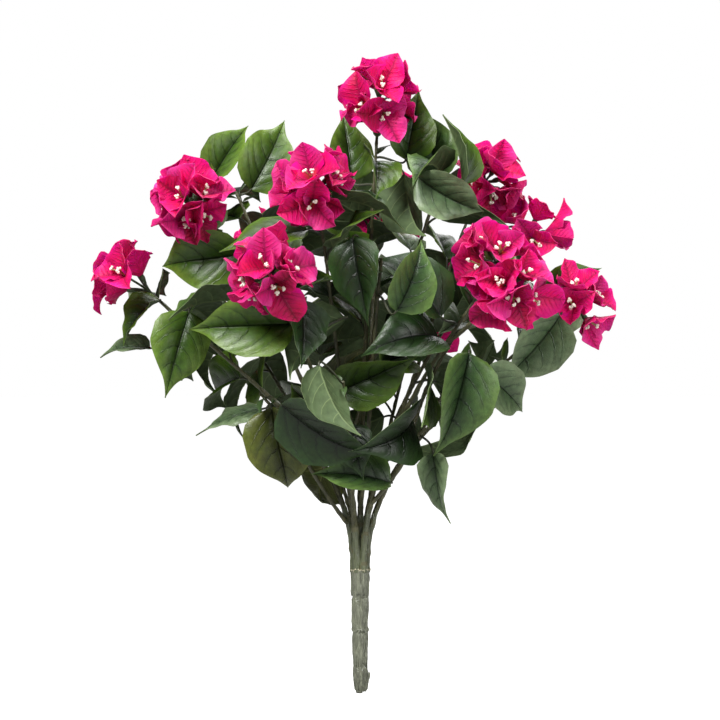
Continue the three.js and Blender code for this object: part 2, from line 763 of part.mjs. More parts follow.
// The moulded stem: a lathed column that swells to its top, nipped in at each joint.
function stemGeometry() {
  const radiusAt = (height) => lerp(STEM_FOOT_RADIUS, STEM_TOP_RADIUS, (height / STEM_HEIGHT) ** 1.3);
  const profile = [new THREE.Vector2(0, 0), new THREE.Vector2(STEM_FOOT_RADIUS - 1.2, 0)];
  profile.push(new THREE.Vector2(STEM_FOOT_RADIUS, 1.6));
  for (const joint of STEM_JOINTS) {
    profile.push(new THREE.Vector2(radiusAt(joint - 1.2), joint - 1.2));
    profile.push(new THREE.Vector2(radiusAt(joint) - STEM_GROOVE, joint));
    profile.push(new THREE.Vector2(radiusAt(joint + 1.2) + 0.2, joint + 1.2));
  }
  profile.push(new THREE.Vector2(STEM_TOP_RADIUS, STEM_HEIGHT), new THREE.Vector2(0, STEM_HEIGHT));
  const geometry = new THREE.LatheGeometry(profile, STEM_SIDES);
  geometry.rotateX(Math.PI / 2);
  return geometry;
}

const bark = new THREE.MeshStandardMaterial({ color: 0x6b705a, roughness: 0.55, metalness: 0 });
const foliage = new THREE.MeshStandardMaterial({ color: 0x2c4a24, roughness: 0.45, metalness: 0 });

function named(name, geometry, material) {
  const mesh = new THREE.Mesh(geometry, material);
  mesh.name = name;
  return mesh;
}

const plant = growPlant();
const bush = new THREE.Group();
bush.name = "bougainvillea_bush";
bush.add(named("stem", geometryOf(solidOf(stemGeometry())), bark));
for (const limb of plant.values()) {
  bush.add(named(`bough_${limb.spray.name}`, geometryOf(boughSolid(limb, plant)), bark));
  bush.add(named(`spray_${limb.spray.name}`, geometryOf(spraySolid(limb)), foliage));
}

export default bush;
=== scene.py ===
"""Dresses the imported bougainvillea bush: bark on its stem and boughs, leaves with veins, and papery blossoms.

The bush grows here by the same rule as in its CAD source, so every leaf and every head of blossoms stands
where its solid stands. The rule works in millimetres. Meshes are made in metres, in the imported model's frame.
"""

import logging
import math
from dataclasses import dataclass, field
from enum import Enum
from typing import Callable, Iterable, Sequence

import bmesh
import bpy
import numpy as np
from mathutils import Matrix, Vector


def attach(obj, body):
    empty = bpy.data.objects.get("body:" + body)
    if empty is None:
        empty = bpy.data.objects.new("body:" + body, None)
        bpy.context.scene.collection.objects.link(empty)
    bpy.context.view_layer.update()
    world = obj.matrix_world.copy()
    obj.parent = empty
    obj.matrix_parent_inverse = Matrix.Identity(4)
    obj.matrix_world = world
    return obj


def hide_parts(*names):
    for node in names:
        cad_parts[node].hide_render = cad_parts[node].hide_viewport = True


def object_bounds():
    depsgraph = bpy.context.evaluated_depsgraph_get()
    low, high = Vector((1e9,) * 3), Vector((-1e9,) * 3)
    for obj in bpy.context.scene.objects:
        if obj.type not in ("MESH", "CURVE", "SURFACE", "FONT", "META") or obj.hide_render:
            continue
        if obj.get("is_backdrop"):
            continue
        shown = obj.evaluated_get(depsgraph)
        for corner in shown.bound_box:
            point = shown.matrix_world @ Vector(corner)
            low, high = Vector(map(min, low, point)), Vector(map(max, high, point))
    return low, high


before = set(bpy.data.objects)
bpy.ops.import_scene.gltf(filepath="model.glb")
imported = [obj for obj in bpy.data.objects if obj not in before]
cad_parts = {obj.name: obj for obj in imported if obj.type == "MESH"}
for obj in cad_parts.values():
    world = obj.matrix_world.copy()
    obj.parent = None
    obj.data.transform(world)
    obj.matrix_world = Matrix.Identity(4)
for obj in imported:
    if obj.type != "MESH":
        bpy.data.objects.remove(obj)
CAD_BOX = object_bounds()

LOG = logging.getLogger("bush")
MM = 0.001
UP = np.array([0.0, 0.0, 1.0])
VIEWER = np.array([0.0, -1.0, 0.0])


# The rule by which the bush grows, in millimetres.

STEM_HEIGHT = 108
STEM_FOOT_RADIUS = 5.3
STEM_TOP_RADIUS = 8.1
STEM_JOINTS = (24, 54, 84)
SEAT_GAP = 0.35
RING_RADIUS = 5.4
BOUGH_RADIUS = 2.5
SIDE_BOUGH_RADIUS = 1.9
TWIG_RADIUS = 1.2

LEAF_OUTLINE = (
    (0, 0), (0.04, 0.46), (0.12, 0.8), (0.25, 0.97), (0.37, 1), (0.5, 0.93), (0.64, 0.73), (0.75, 0.49),
    (0.84, 0.27), (0.92, 0.12), (1, 0),
)
BRACT_OUTLINE = (
    (0, 0), (0.08, 0.3), (0.25, 0.74), (0.45, 1), (0.62, 0.96), (0.8, 0.62), (0.92, 0.26), (1, 0),
)
LEAF_WIDTH_RATIO = 0.74
BRACT_LENGTH = 33
BRACT_WIDTH = 28
BRACTS = 3
BRACT_OPENING = math.radians(38)
BRACT_OPENINGS = (0.7, 1.3)
BRACT_SIZES = (0.88, 1.08)
BRACT_SPOTS = (5, 5)
BLOSSOM_TILTS = (0.85, 1.1)
BLOSSOM_REACHES = (0.85, 1.1)
BLOSSOM_STRAY = 0.4
MIDDLE_REACH = 1.3
LARGEST_RING = 3
BLOSSOM_TRIES = 8
PEDICEL_LENGTH = 15

CROWN_CENTRE = np.array([0.0, 0.0, 300.0])
CROWN_MIDDLE = np.array([-8.0, 0.0, 322.0])
CROWN_REACH = np.array([222.0, 185.0, 178.0])
CONE_FOOT = 120
CONE_SLOPE = 0.85
LEAF_CLEARANCE = 5.2
TWIG_CLEARANCE = 3
TRIES = 40
LAST_LEAF = 0.97
STALK_PLACES = 24
STALK_STEP = 5
SHOWN_TURNS = (0, 12, -12, 24, -24)
SHOWN_SHIFTS = (0, -12, 12, -24, 24, 36)
GOLDEN_ANGLE = math.radians(137.5)
LEAF_LENGTHS = (62, 88)
STALK_LENGTHS = (12, 22)
FILL_SHARE = 0.8
FILL_TILTS = (0.1, 1.35)
FILL_REACH = (0.5, 1)
FILL_SIZE = 0.86
FILL_TRIES = 14


# How a limb runs, and how the leaves that the rule deals out stand on it.

LIMB_STEP = 4
FORK_TURN = 0.7
END_DROOP = 0.25
START_HANDLE = 0.38
END_HANDLE = 0.3
PHASE_STEP = 1.7
FIRST_LEAF_GAP = 0.04
STEEP = 0.95
STEEP_FACE = 0.9
LEAF_SPOTS = (12, 9)
LEAF_STRAYS = (-0.7, 0.7)
LEAF_OUTWARD = (0.2, 0.7)
LEAF_FALLS = (-0.75, 0.1)
LEAF_ALONG = 0.25
LEAF_FACE = (0.9, 0.55, 0.9)
LEAF_SIZES = (1.08, 0.86)
STALK_LEAN = 0.6
RETRY_TURN = 2.4
RIPPLES = 1.3
RIPPLE_SHIFT = 2


# Where the random numbers of each kind of thing start.

BLOSSOM_SEED = 1000
SHOWN_SEED = 2000
SHOWN_SEED_STEP = 20
BUD_SEED = 5000
RULED_SEED = 10000
RULED_SEED_STEP = 100
BRACT_SEED = 70000
FLORET_SEED = 80000
LEAFLET_SEED = 90000


@dataclass(frozen=True)
class Spray:
    """One limb of the bush and what it carries at its end.

    foot is None for the middle of the ring on the stem, an angle in degrees for a place in that ring, or
    another limb's name with the share of the way along it. hub is where the blossoms meet, and face the way
    they look. bare is the share of the limb that is bough, and leaves is how many the rule deals out.
    pedicel is how far the blossoms stand from the hub, and spread how far they lean apart. A row of shown is
    one large leaf: where its blade starts, its angle in the view and its lean towards the viewer in degrees,
    its length, and its turn about its own rib.
    """

    name: str
    foot: float | tuple[str, float] | None
    hub: tuple[float, float, float]
    face: tuple[float, float, float]
    blossoms: int
    bare: float
    leaves: int
    pedicel: float = PEDICEL_LENGTH
    spread: float = 1
    shown: tuple[tuple[float, ...], ...] = ()


SPRAYS: tuple[Spray, ...] = (
    Spray(
        "top", foot=None, hub=(16, -5, 509), face=(0.1, -0.85, 0.5),
        blossoms=5, bare=0.4, leaves=7, pedicel=19,
        shown=(
            (-7, 8, 446, 96, 0, 64, 10),
            (38, -22, 450, -86, 5, 74, 168),
            (40, -2, 464, 79, 5, 62, 10),
        ),
    ),
    Spray(
        "left", foot=180, hub=(-178, -25, 346), face=(-0.8, -0.2, 0.55),
        blossoms=3, bare=0.45, leaves=6, pedicel=31, spread=0.5,
        shown=(
            (-145, -48, 331, -106, 18, 72, -5),
            (-172, -32, 341, -155, 5, 48, 72),
            (-182, -5, 300, 171, 0, 46, 62),
        ),
    ),
    Spray(
        "front_left", foot=240, hub=(-72, -108, 358), face=(-0.2, -0.9, 0.35),
        blossoms=5, bare=0.4, leaves=4,
        shown=(
            (-55, -108, 320, -178, 12, 86, 8),
            (-48, -96, 340, -86, 30, 58, -30),
            (-12, -100, 325, -152, 6, 80, 118),
            (-66, -104, 290, 19, 10, 92, -115),
        ),
    ),
    Spray(
        "front_right", foot=300, hub=(114, -70, 368), face=(0.1, -0.85, 0.5),
        blossoms=5, bare=0.36, leaves=5,
        shown=(
            (68, -70, 326, 125, 10, 82, 40),
            (92, -54, 366, 139, 10, 70, 45),
        ),
    ),
    Spray(
        "right", foot=0, hub=(189, 5, 336), face=(0.4, -0.85, 0.1),
        blossoms=2, bare=0.42, leaves=6, spread=0.9,
        shown=(
            (172, -22, 328, -124, 10, 74, -12),
            (163, 18, 351, 19, 0, 52, 20),
        ),
    ),
    Spray(
        "back_right", foot=60, hub=(95, 110, 350), face=(0.5, 0.7, 0.4),
        blossoms=3, bare=0.4, leaves=8,
    ),
    Spray(
        "back_left", foot=120, hub=(-80, 105, 392), face=(-0.4, 0.7, 0.5),
        blossoms=3, bare=0.4, leaves=8,
    ),
    Spray(
        "upper_left", foot=("left", 0.3), hub=(-142, -40, 420), face=(-0.35, -0.8, 0.35),
        blossoms=5, bare=0.4, leaves=6, pedicel=14,
        shown=(
            (-99, -52, 380, -173, 5, 80, -8),
        ),
    ),
    Spray(
        "high_left", foot=("upper_left", 0.35), hub=(-110, 5, 440), face=(0, -1, 0),
        blossoms=0, bare=0.3, leaves=4,
        shown=(
            (-95, 0, 438, 60, 0, 72, 10),
            (-130, 20, 450, 60, 0, 58, -10),
        ),
    ),
    Spray(
        "front_top", foot=("top", 0.22), hub=(-38, -70, 430), face=(-0.1, -0.85, 0.5),
        blossoms=5, bare=0.45, leaves=5,
        shown=(
            (-52, -10, 402, -150, 5, 66, 40),
        ),
    ),
    Spray(
        "right_low", foot=("front_right", 0.72), hub=(124, -88, 350), face=(0.05, -0.9, -0.35),
        blossoms=4, bare=0.3, leaves=1, spread=0.85,
    ),
    Spray(
        "upper_right", foot=("back_right", 0.3), hub=(110, 36, 446), face=(0.35, -0.75, 0.5),
        blossoms=4, bare=0.42, leaves=7, pedicel=14,
    ),
    Spray(
        "high_right", foot=("top", 0.4), hub=(76, 0, 452), face=(0, -1, 0),
        blossoms=0, bare=0.3, leaves=6,
        shown=(
            (71, 14, 448, 107, -5, 68, -15),
            (88, -8, 441, 86, 0, 60, 72),
            (86, 8, 470, 136, 0, 52, 60),
            (50, -36, 446, -40, 10, 66, 30),
            (62, -46, 460, -172, 10, 60, 150),
        ),
    ),
    Spray(
        "right_high", foot=("right", 0.35), hub=(150, 34, 402), face=(0.45, -0.7, 0.5),
        blossoms=3, bare=0.4, leaves=5,
    ),
    Spray(
        "back_top", foot=("back_left", 0.3), hub=(20, 105, 430), face=(0.1, 0.7, 0.6),
        blossoms=3, bare=0.42, leaves=8,
    ),
    Spray(
        "back_low", foot=("back_right", 0.2), hub=(56, 142, 328), face=(0.2, 0.9, 0.2),
        blossoms=3, bare=0.35, leaves=7,
    ),
    Spray(
        "far_back_left", foot=("back_left", 0.2), hub=(-122, 98, 330), face=(-0.3, 0.9, 0.3),
        blossoms=3, bare=0.4, leaves=7,
    ),
    Spray(
        "low_left", foot=("left", 0.12), hub=(-85, -56, 262), face=(-0.5, -0.6, 0),
        blossoms=0, bare=0.35, leaves=4,
        shown=(
            (-84, -30, 248, -170, 15, 58, 58),
            (-75, -42, 250, -80, 8, 82, 12),
            (-66, -70, 253, -43, 10, 90, 48),
        ),
    ),
    Spray(
        "low_right", foot=("front_right", 0.18), hub=(92, -62, 290), face=(0.5, -0.6, 0),
        blossoms=0, bare=0.35, leaves=4,
        shown=(
            (91, -80, 296, -102, 10, 90, -18),
            (92, -10, 252, -8, 0, 52, 76),
            (44, -10, 213, 8, 0, 76, 66),
            (62, -50, 212, -84, 10, 60, 40),
        ),
    ),
    Spray(
        "low_front", foot=("front_left", 0.12), hub=(-14, -92, 272), face=(0, -1, 0),
        blossoms=0, bare=0.35, leaves=3,
        shown=(
            (-34, -98, 286, -76, 10, 70, 118),
            (-8, -84, 236, -78, 15, 46, 0),
            (26, -62, 186, 160, 20, 64, 66),
        ),
    ),
    Spray(
        "middle_front", foot=("top", 0.12), hub=(18, -88, 375), face=(0.2, -0.9, 0.2),
        blossoms=0, bare=0.4, leaves=4,
        shown=(
            (-6, -84, 392, -84, 15, 70, 15),
            (-12, -58, 413, 27, 0, 86, 62),
            (30, -84, 330, 60, 15, 62, 30),
        ),
    ),
    Spray(
        "low_back", foot=("back_left", 0.1), hub=(-45, 108, 268), face=(-0.4, 0.8, 0),
        blossoms=0, bare=0.35, leaves=7,
    ),
)


def unit(v: np.ndarray) -> np.ndarray:
    """The direction of v."""
    return v / np.linalg.norm(v)


def across(v: np.ndarray, direction: np.ndarray) -> np.ndarray:
    """What is left of v across a unit direction, as a unit vector."""
    return unit(v - direction * v.dot(direction))


def beside(direction: np.ndarray, steep: float = STEEP) -> np.ndarray:
    """A unit vector across a direction: upwards, or towards the viewer where the direction is steep."""
    return across(VIEWER if abs(direction[2]) > steep else UP, direction)


def turned(v: np.ndarray, axis: np.ndarray, angle: float) -> np.ndarray:
    """v turned about a unit axis by an angle in radians."""
    c, s = math.cos(angle), math.sin(angle)
    return v * c + np.cross(axis, v) * s + axis * axis.dot(v) * (1 - c)


def lerp(low: float, high: float, share: float) -> float:
    """The value that lies a share of the way from low to high."""
    return (1 - share) * low + share * high


def ripples(u: np.ndarray, v: np.ndarray, count: float, phase: float, shift: float) -> np.ndarray:
    """So many waves along a blade, those of one half shifted against those of the other."""
    return np.sin(2 * math.pi * (count * u + phase) + np.where(v > 0, shift, 0))


class Dice:
    """The same numbers between 0 and 1 for the same seed, on any machine."""

    TURNS = 4294967296
    FIRST = (2654435, 40503)
    NEXT = (1664525, 1013904223)

    def __init__(self, seed: int) -> None:
        """Starts from a seed and throws the first two numbers away.

        Args:
            seed: a whole number.
        """
        self.state = seed
        self.step(*self.FIRST)
        self.roll()
        self.roll()

    def step(self, factor: int, shift: int) -> None:
        """Goes on to the next state."""
        self.state = (self.state * factor + shift) % self.TURNS

    def roll(self) -> float:
        """The next number between 0 and 1."""
        self.step(*self.NEXT)
        return self.state / self.TURNS

    def between(self, low: float, high: float) -> float:
        """The next number between low and high."""
        return lerp(low, high, self.roll())


@dataclass(frozen=True)
class Curl:
    """The least and the most that blades of one kind bend, fold, ripple, twist and lean to one side."""

    bend: tuple[float, float]
    fold: tuple[float, float]
    ripple: tuple[float, float]
    twist: tuple[float, float] | None = None
    skew: tuple[float, float] | None = None

    def deal(self, dice: Dice) -> dict[str, float]:
        """One blade's numbers, thrown in the order in which they are listed.

        Args:
            dice: the dice.

        Returns:
            The numbers, by the names that a blade has for them.
        """
        dealt = {
            "bend": dice.between(*self.bend), "fold": dice.between(*self.fold),
            "ripple": dice.between(*self.ripple), "phase": dice.roll(),
        }
        if self.twist and self.skew:
            dealt |= {"twist": dice.between(*self.twist), "skew": dice.between(*self.skew)}
        return dealt


SHOWN_CURL = Curl((0.15, 1.05), (0.08, 0.6), (0.8, 2.6), (-0.7, 0.7), (-0.25, 0.25))
RULED_CURL = Curl((0.15, 1.6), (0.08, 0.6), (0.8, 2.6), (-0.7, 0.7), (-0.25, 0.25))
BRACT_CURL = Curl((0.1, 0.95), (0.05, 0.3), (0.6, 1.8), (-0.35, 0.35), (-0.12, 0.12))
LEAFLET_CURL = Curl((0.2, 0.9), (0.2, 0.5), (0.2, 0.6))


class Bezier:
    """A cubic curve through space."""

    STEP = 0.0001
    CHORDS = 200

    def __init__(self, *points: np.ndarray) -> None:
        """Takes the four control points, in order."""
        self.points = [np.asarray(p, dtype=float) for p in points]

    def at(self, t: float) -> np.ndarray:
        """The point at a share of the curve's parameter.

        Args:
            t: the share.

        Returns:
            The point.
        """
        a, b, c, d = self.points
        k = 1 - t
        return k * k * k * a + 3 * k * k * t * b + 3 * k * t * t * c + t * t * t * d

    def tangent(self, t: float) -> np.ndarray:
        """The direction of the curve at a share of its parameter."""
        return unit(self.at(min(1, t + self.STEP)) - self.at(max(0, t - self.STEP)))

    def spots(self, count: int) -> np.ndarray:
        """Spots at so many even steps along the curve."""
        return np.array([self.at(k / count) for k in range(count + 1)])

    def length(self) -> float:
        """The length of the curve, from its chords."""
        return float(np.linalg.norm(np.diff(self.spots(self.CHORDS), axis=0), axis=1).sum())


@dataclass
class Blade:
    """A leaf or a bract: where it starts, its directions and size, and how it bends, folds and ripples."""

    base: np.ndarray
    axis: np.ndarray
    face: np.ndarray
    length: float
    width: float
    outline: tuple[tuple[float, float], ...]
    bend: float
    fold: float
    ripple: float
    phase: float
    twist: float = 0
    skew: float = 0
    foot: np.ndarray | None = None
    side: np.ndarray = field(init=False)

    def __post_init__(self) -> None:
        """Finds the direction across the blade."""
        self.side = np.cross(self.face, self.axis)

    def half(self, u: np.ndarray) -> np.ndarray:
        """The share of the half-width at shares u of the length."""
        return np.interp(u, *zip(*self.outline))

    def points(self, u: np.ndarray, v: np.ndarray, half: np.ndarray) -> tuple[np.ndarray, np.ndarray]:
        """Points of the blade and its normals there.

        Args:
            u: shares of the length, from base to tip.
            v: shares of the half-width, from -1 at one edge to 1 at the other.
            half: the outline's share of the half-width at each u.

        Returns:
            The points and the normals, one row each.
        """
        u, v, half = (a[:, None] for a in np.broadcast_arrays(u, v, half))
        bend, spun = self.bend * u, self.twist * u
        face = self.face * np.cos(spun) + self.side * np.sin(spun)
        side = self.side * np.cos(spun) - self.face * np.sin(spun)
        fold = self.fold + np.sign(v) * self.skew
        normal = face * np.cos(bend) + self.axis * np.sin(bend)
        lateral = self.width / 2 * half * np.abs(v)
        wave = ripples(u, v, RIPPLES, self.phase, RIPPLE_SHIFT)
        points = (
            self.base
            + self.axis * (self.length * np.sin(bend) / self.bend)
            - self.face * (self.length * (1 - np.cos(bend)) / self.bend)
            + side * (np.sign(v) * lateral * np.cos(fold))
            + normal * (lateral * np.sin(fold) + self.ripple * wave * v * v * half)
        )
        return points, normal

    def spots(self, along: int, wide: int) -> np.ndarray:
        """The places where the blade could meet something else.

        Args:
            along: how many rows of spots it gets.
            wide: how many spots a row has.

        Returns:
            The spots, one row each.
        """
        u = np.repeat(np.arange(1, along + 1) / along, wide)
        v = np.tile(2 * np.arange(wide) / (wide - 1) - 1, along)
        return self.points(u, v, self.half(u))[0]

    def leaf_spots(self) -> np.ndarray:
        """The places on a leaf and along its stalk, short of the twig, where it could meet something else.

        Returns:
            The spots, one row each.
        """
        steps = math.ceil(np.linalg.norm(self.base - self.foot) / STALK_STEP)
        stalk = [(1 - k / steps) * self.base + k / steps * self.foot for k in range(steps)]
        return np.vstack([self.spots(*LEAF_SPOTS), *stalk])


@dataclass
class Blossom:
    """Three bracts round a heart, on a pedicel from the hub."""

    hub: np.ndarray
    heart: np.ndarray
    axis: np.ndarray
    bracts: list[Blade]


class Limb:
    """A bough with the twig, leaves and blossoms at its end."""

    def __init__(self, spray: Spray, index: int, limbs: dict[str, "Limb"]) -> None:
        """Finds the limb's run: up out of the stem, or forking off its parent, then arching to its hub.

        Args:
            spray: the limb's row in the list.
            index: its number there.
            limbs: the limbs before it, by name.
        """
        self.spray = spray
        self.index = index
        hub = np.array(spray.hub, dtype=float)
        if isinstance(spray.foot, tuple):
            name, share = spray.foot
            parent = limbs[name].curve
            start = parent.at(share)
            along = parent.tangent(share)
            heading = unit(along + FORK_TURN * across(hub - start, along))
            self.radius = SIDE_BOUGH_RADIUS
        else:
            turn = math.radians(spray.foot or 0)
            out = 0 if spray.foot is None else RING_RADIUS
            start = np.array([out * math.cos(turn), out * math.sin(turn), STEM_HEIGHT + SEAT_GAP])
            heading = UP
            self.radius = BOUGH_RADIUS
        reach = float(np.linalg.norm(hub - start))
        arrival = unit(unit(hub - start) - END_DROOP * UP)
        self.curve = Bezier(
            start, start + START_HANDLE * reach * heading, hub - END_HANDLE * reach * arrival, hub
        )
        self.phase = index * PHASE_STEP
        self.leaves: list[Blade] = []
        self.blossoms: list[Blossom] = []
        self.buds: list[Blossom] = []

    def radius_at(self, share: float) -> float:
        """The limb's radius at a share of its run."""
        return lerp(self.radius, TWIG_RADIUS, share)

    @property
    def first_leaf(self) -> float:
        """The share of the run where the first leaf can stand."""
        return self.spray.bare + FIRST_LEAF_GAP

    @property
    def head(self) -> tuple[np.ndarray, np.ndarray, np.ndarray]:
        """Where the limb's blossoms meet, the way they look, and a direction across that."""
        face = unit(np.array(self.spray.face, dtype=float))
        return np.array(self.spray.hub, dtype=float), face, beside(face, STEEP_FACE)

    def shown_leaf(self, row: Sequence[float], seed: int) -> Blade:
        """A leaf placed as it shows, on a stalk from the nearest place on the twig.

        Args:
            row: its place, angle, lean, length and turn.
            seed: where its dice start.

        Returns:
            The leaf.
        """
        x, y, z, angle, lean, length, turn = row
        flat, towards = math.radians(angle), math.radians(lean)
        axis = np.array([math.cos(flat), 0, math.sin(flat)]) * math.cos(towards) + VIEWER * math.sin(towards)
        base = np.array([x, y, z], dtype=float)
        face = turned(across(VIEWER, axis), axis, math.radians(turn))
        foot = self.curve.at(LAST_LEAF)
        for k in range(STALK_PLACES):
            place = self.curve.at(lerp(self.first_leaf, LAST_LEAF, k / STALK_PLACES))
            if np.linalg.norm(place - base) < np.linalg.norm(foot - base):
                foot = place
        return make_leaf(foot, base, axis, face, length, Dice(seed), SHOWN_CURL)

    def ruled_leaf(self, share: float, order: float, seed: int) -> Blade:
        """The next leaf round the twig by the golden angle, its face to the light and out of the crown.

        Args:
            share: the share of the limb's run where it stands.
            order: its number on the limb.
            seed: where its dice start.

        Returns:
            The leaf.
        """
        dice = Dice(seed)
        foot, along = self.curve.at(share), self.curve.tangent(share)
        turn = self.phase + order * GOLDEN_ANGLE + dice.between(*LEAF_STRAYS)
        sideways = turned(beside(along), along, turn)
        outward = unit(foot - CROWN_CENTRE)
        reach = dice.between(*LEAF_OUTWARD)
        axis = unit(sideways + reach * outward + LEAF_ALONG * along + dice.between(*LEAF_FALLS) * UP)
        stray = np.array([dice.roll() - 0.5 for _ in range(3)])
        out, upward, aside = LEAF_FACE
        face = out * outward + upward * UP + aside * stray
        length = dice.between(*LEAF_LENGTHS) * lerp(*LEAF_SIZES, share)
        base = foot + unit(axis + STALK_LEAN * along) * dice.between(*STALK_LENGTHS)
        return make_leaf(foot, base, axis, face, length, dice, RULED_CURL)


def make_leaf(
    foot: np.ndarray, base: np.ndarray, axis: np.ndarray, face: np.ndarray, length: float, dice: Dice,
    curl: Curl,
) -> Blade:
    """A leaf from the foot of its stalk and the base, the rib and the face of its blade.

    Args:
        foot: where its stalk leaves the twig.
        base: where its blade starts.
        axis: the direction of its rib.
        face: roughly the way its upper side looks.
        length: the length of its blade.
        dice: deals out how it curls.
        curl: the limits of that.

    Returns:
        The leaf.
    """
    return Blade(
        base=base, axis=axis, face=across(face, axis), length=length, width=length * LEAF_WIDTH_RATIO,
        outline=LEAF_OUTLINE, foot=foot, **curl.deal(dice),
    )


def make_bracts(
    heart: np.ndarray, axis: np.ndarray, start: np.ndarray, dice: Dice, scale: float = 1,
) -> list[Blade]:
    """The three bracts of a blossom: they stand round its axis and open like a cup.

    Args:
        heart: where the bracts meet.
        axis: the way in which the blossom opens.
        start: a direction across that, towards the first bract.
        dice: deals out how they open, their sizes and their curls.
        scale: how large they are, against the usual size.

    Returns:
        The bracts.
    """
    bracts = []
    for k in range(BRACTS):
        outward = turned(start, axis, 2 * math.pi * k / BRACTS)
        opening = BRACT_OPENING * dice.between(*BRACT_OPENINGS)
        rib = axis * math.cos(opening) + outward * math.sin(opening)
        face = axis * math.sin(opening) - outward * math.cos(opening)
        size = scale * dice.between(*BRACT_SIZES)
        bracts.append(Blade(
            base=heart, axis=rib, face=face, length=BRACT_LENGTH * size, width=BRACT_WIDTH * size,
            outline=BRACT_OUTLINE, **BRACT_CURL.deal(dice),
        ))
    return bracts


def bract_spots(bracts: Iterable[Blade]) -> np.ndarray:
    """The places where any of the bracts could meet something else."""
    return np.vstack([bract.spots(*BRACT_SPOTS) for bract in bracts])


def in_crown(spots: np.ndarray) -> bool:
    """Whether all the spots lie in the space that the crown fills.

    Args:
        spots: the spots, one row each.

    Returns:
        True if none of them lies outside that space.
    """
    rounded_off = np.linalg.norm((spots - CROWN_MIDDLE) / CROWN_REACH, axis=1) <= 1
    above_cone = spots[:, 2] > CONE_FOOT + CONE_SLOPE * np.hypot(spots[:, 0], spots[:, 1])
    return bool((rounded_off & above_cone).all())


class Neighbours:
    """Everything that has been grown so far, so that a new leaf can be kept clear of it."""

    def __init__(self) -> None:
        """Starts with nothing grown."""
        self.points = np.empty((0, 3))
        self.owners = np.empty(0, dtype=int)
        self.clearances = np.empty(0)
        self.names: dict[str, int] = {}

    def number(self, owner: str) -> int:
        """The number that stands for an owner's name."""
        return self.names.setdefault(owner, len(self.names))

    def add(self, points: np.ndarray, owner: str, clearances: float | np.ndarray = LEAF_CLEARANCE) -> None:
        """Adds points that others have to stay clear of.

        Args:
            points: the points, one row each.
            owner: who grew them.
            clearances: how far others have to stay away.
        """
        count = len(points)
        self.points = np.vstack([self.points, points])
        self.owners = np.append(self.owners, np.full(count, self.number(owner)))
        self.clearances = np.append(self.clearances, np.broadcast_to(clearances, count))

    def near(self, spots: np.ndarray, owners: Iterable[str]) -> bool:
        """Whether any of the spots is too near to something that none of the owners grew.

        Args:
            spots: the spots, one row each.
            owners: those who do not count.

        Returns:
            True if one of them is too near.
        """
        low, high = spots.min(axis=0) - 2 * LEAF_CLEARANCE, spots.max(axis=0) + 2 * LEAF_CLEARANCE
        keep = ((self.points > low) & (self.points < high)).all(axis=1)
        keep &= ~np.isin(self.owners, [self.number(owner) for owner in owners])
        if not keep.any():
            return False
        others, clearances = self.points[keep], self.clearances[keep]
        gaps = np.linalg.norm(spots[:, None] - others[None], axis=2)
        cells = np.abs(np.floor(spots / LEAF_CLEARANCE)[:, None] - np.floor(others / LEAF_CLEARANCE)[None])
        return bool(((gaps < clearances[None]) & (cells.max(axis=2) <= 1)).any())


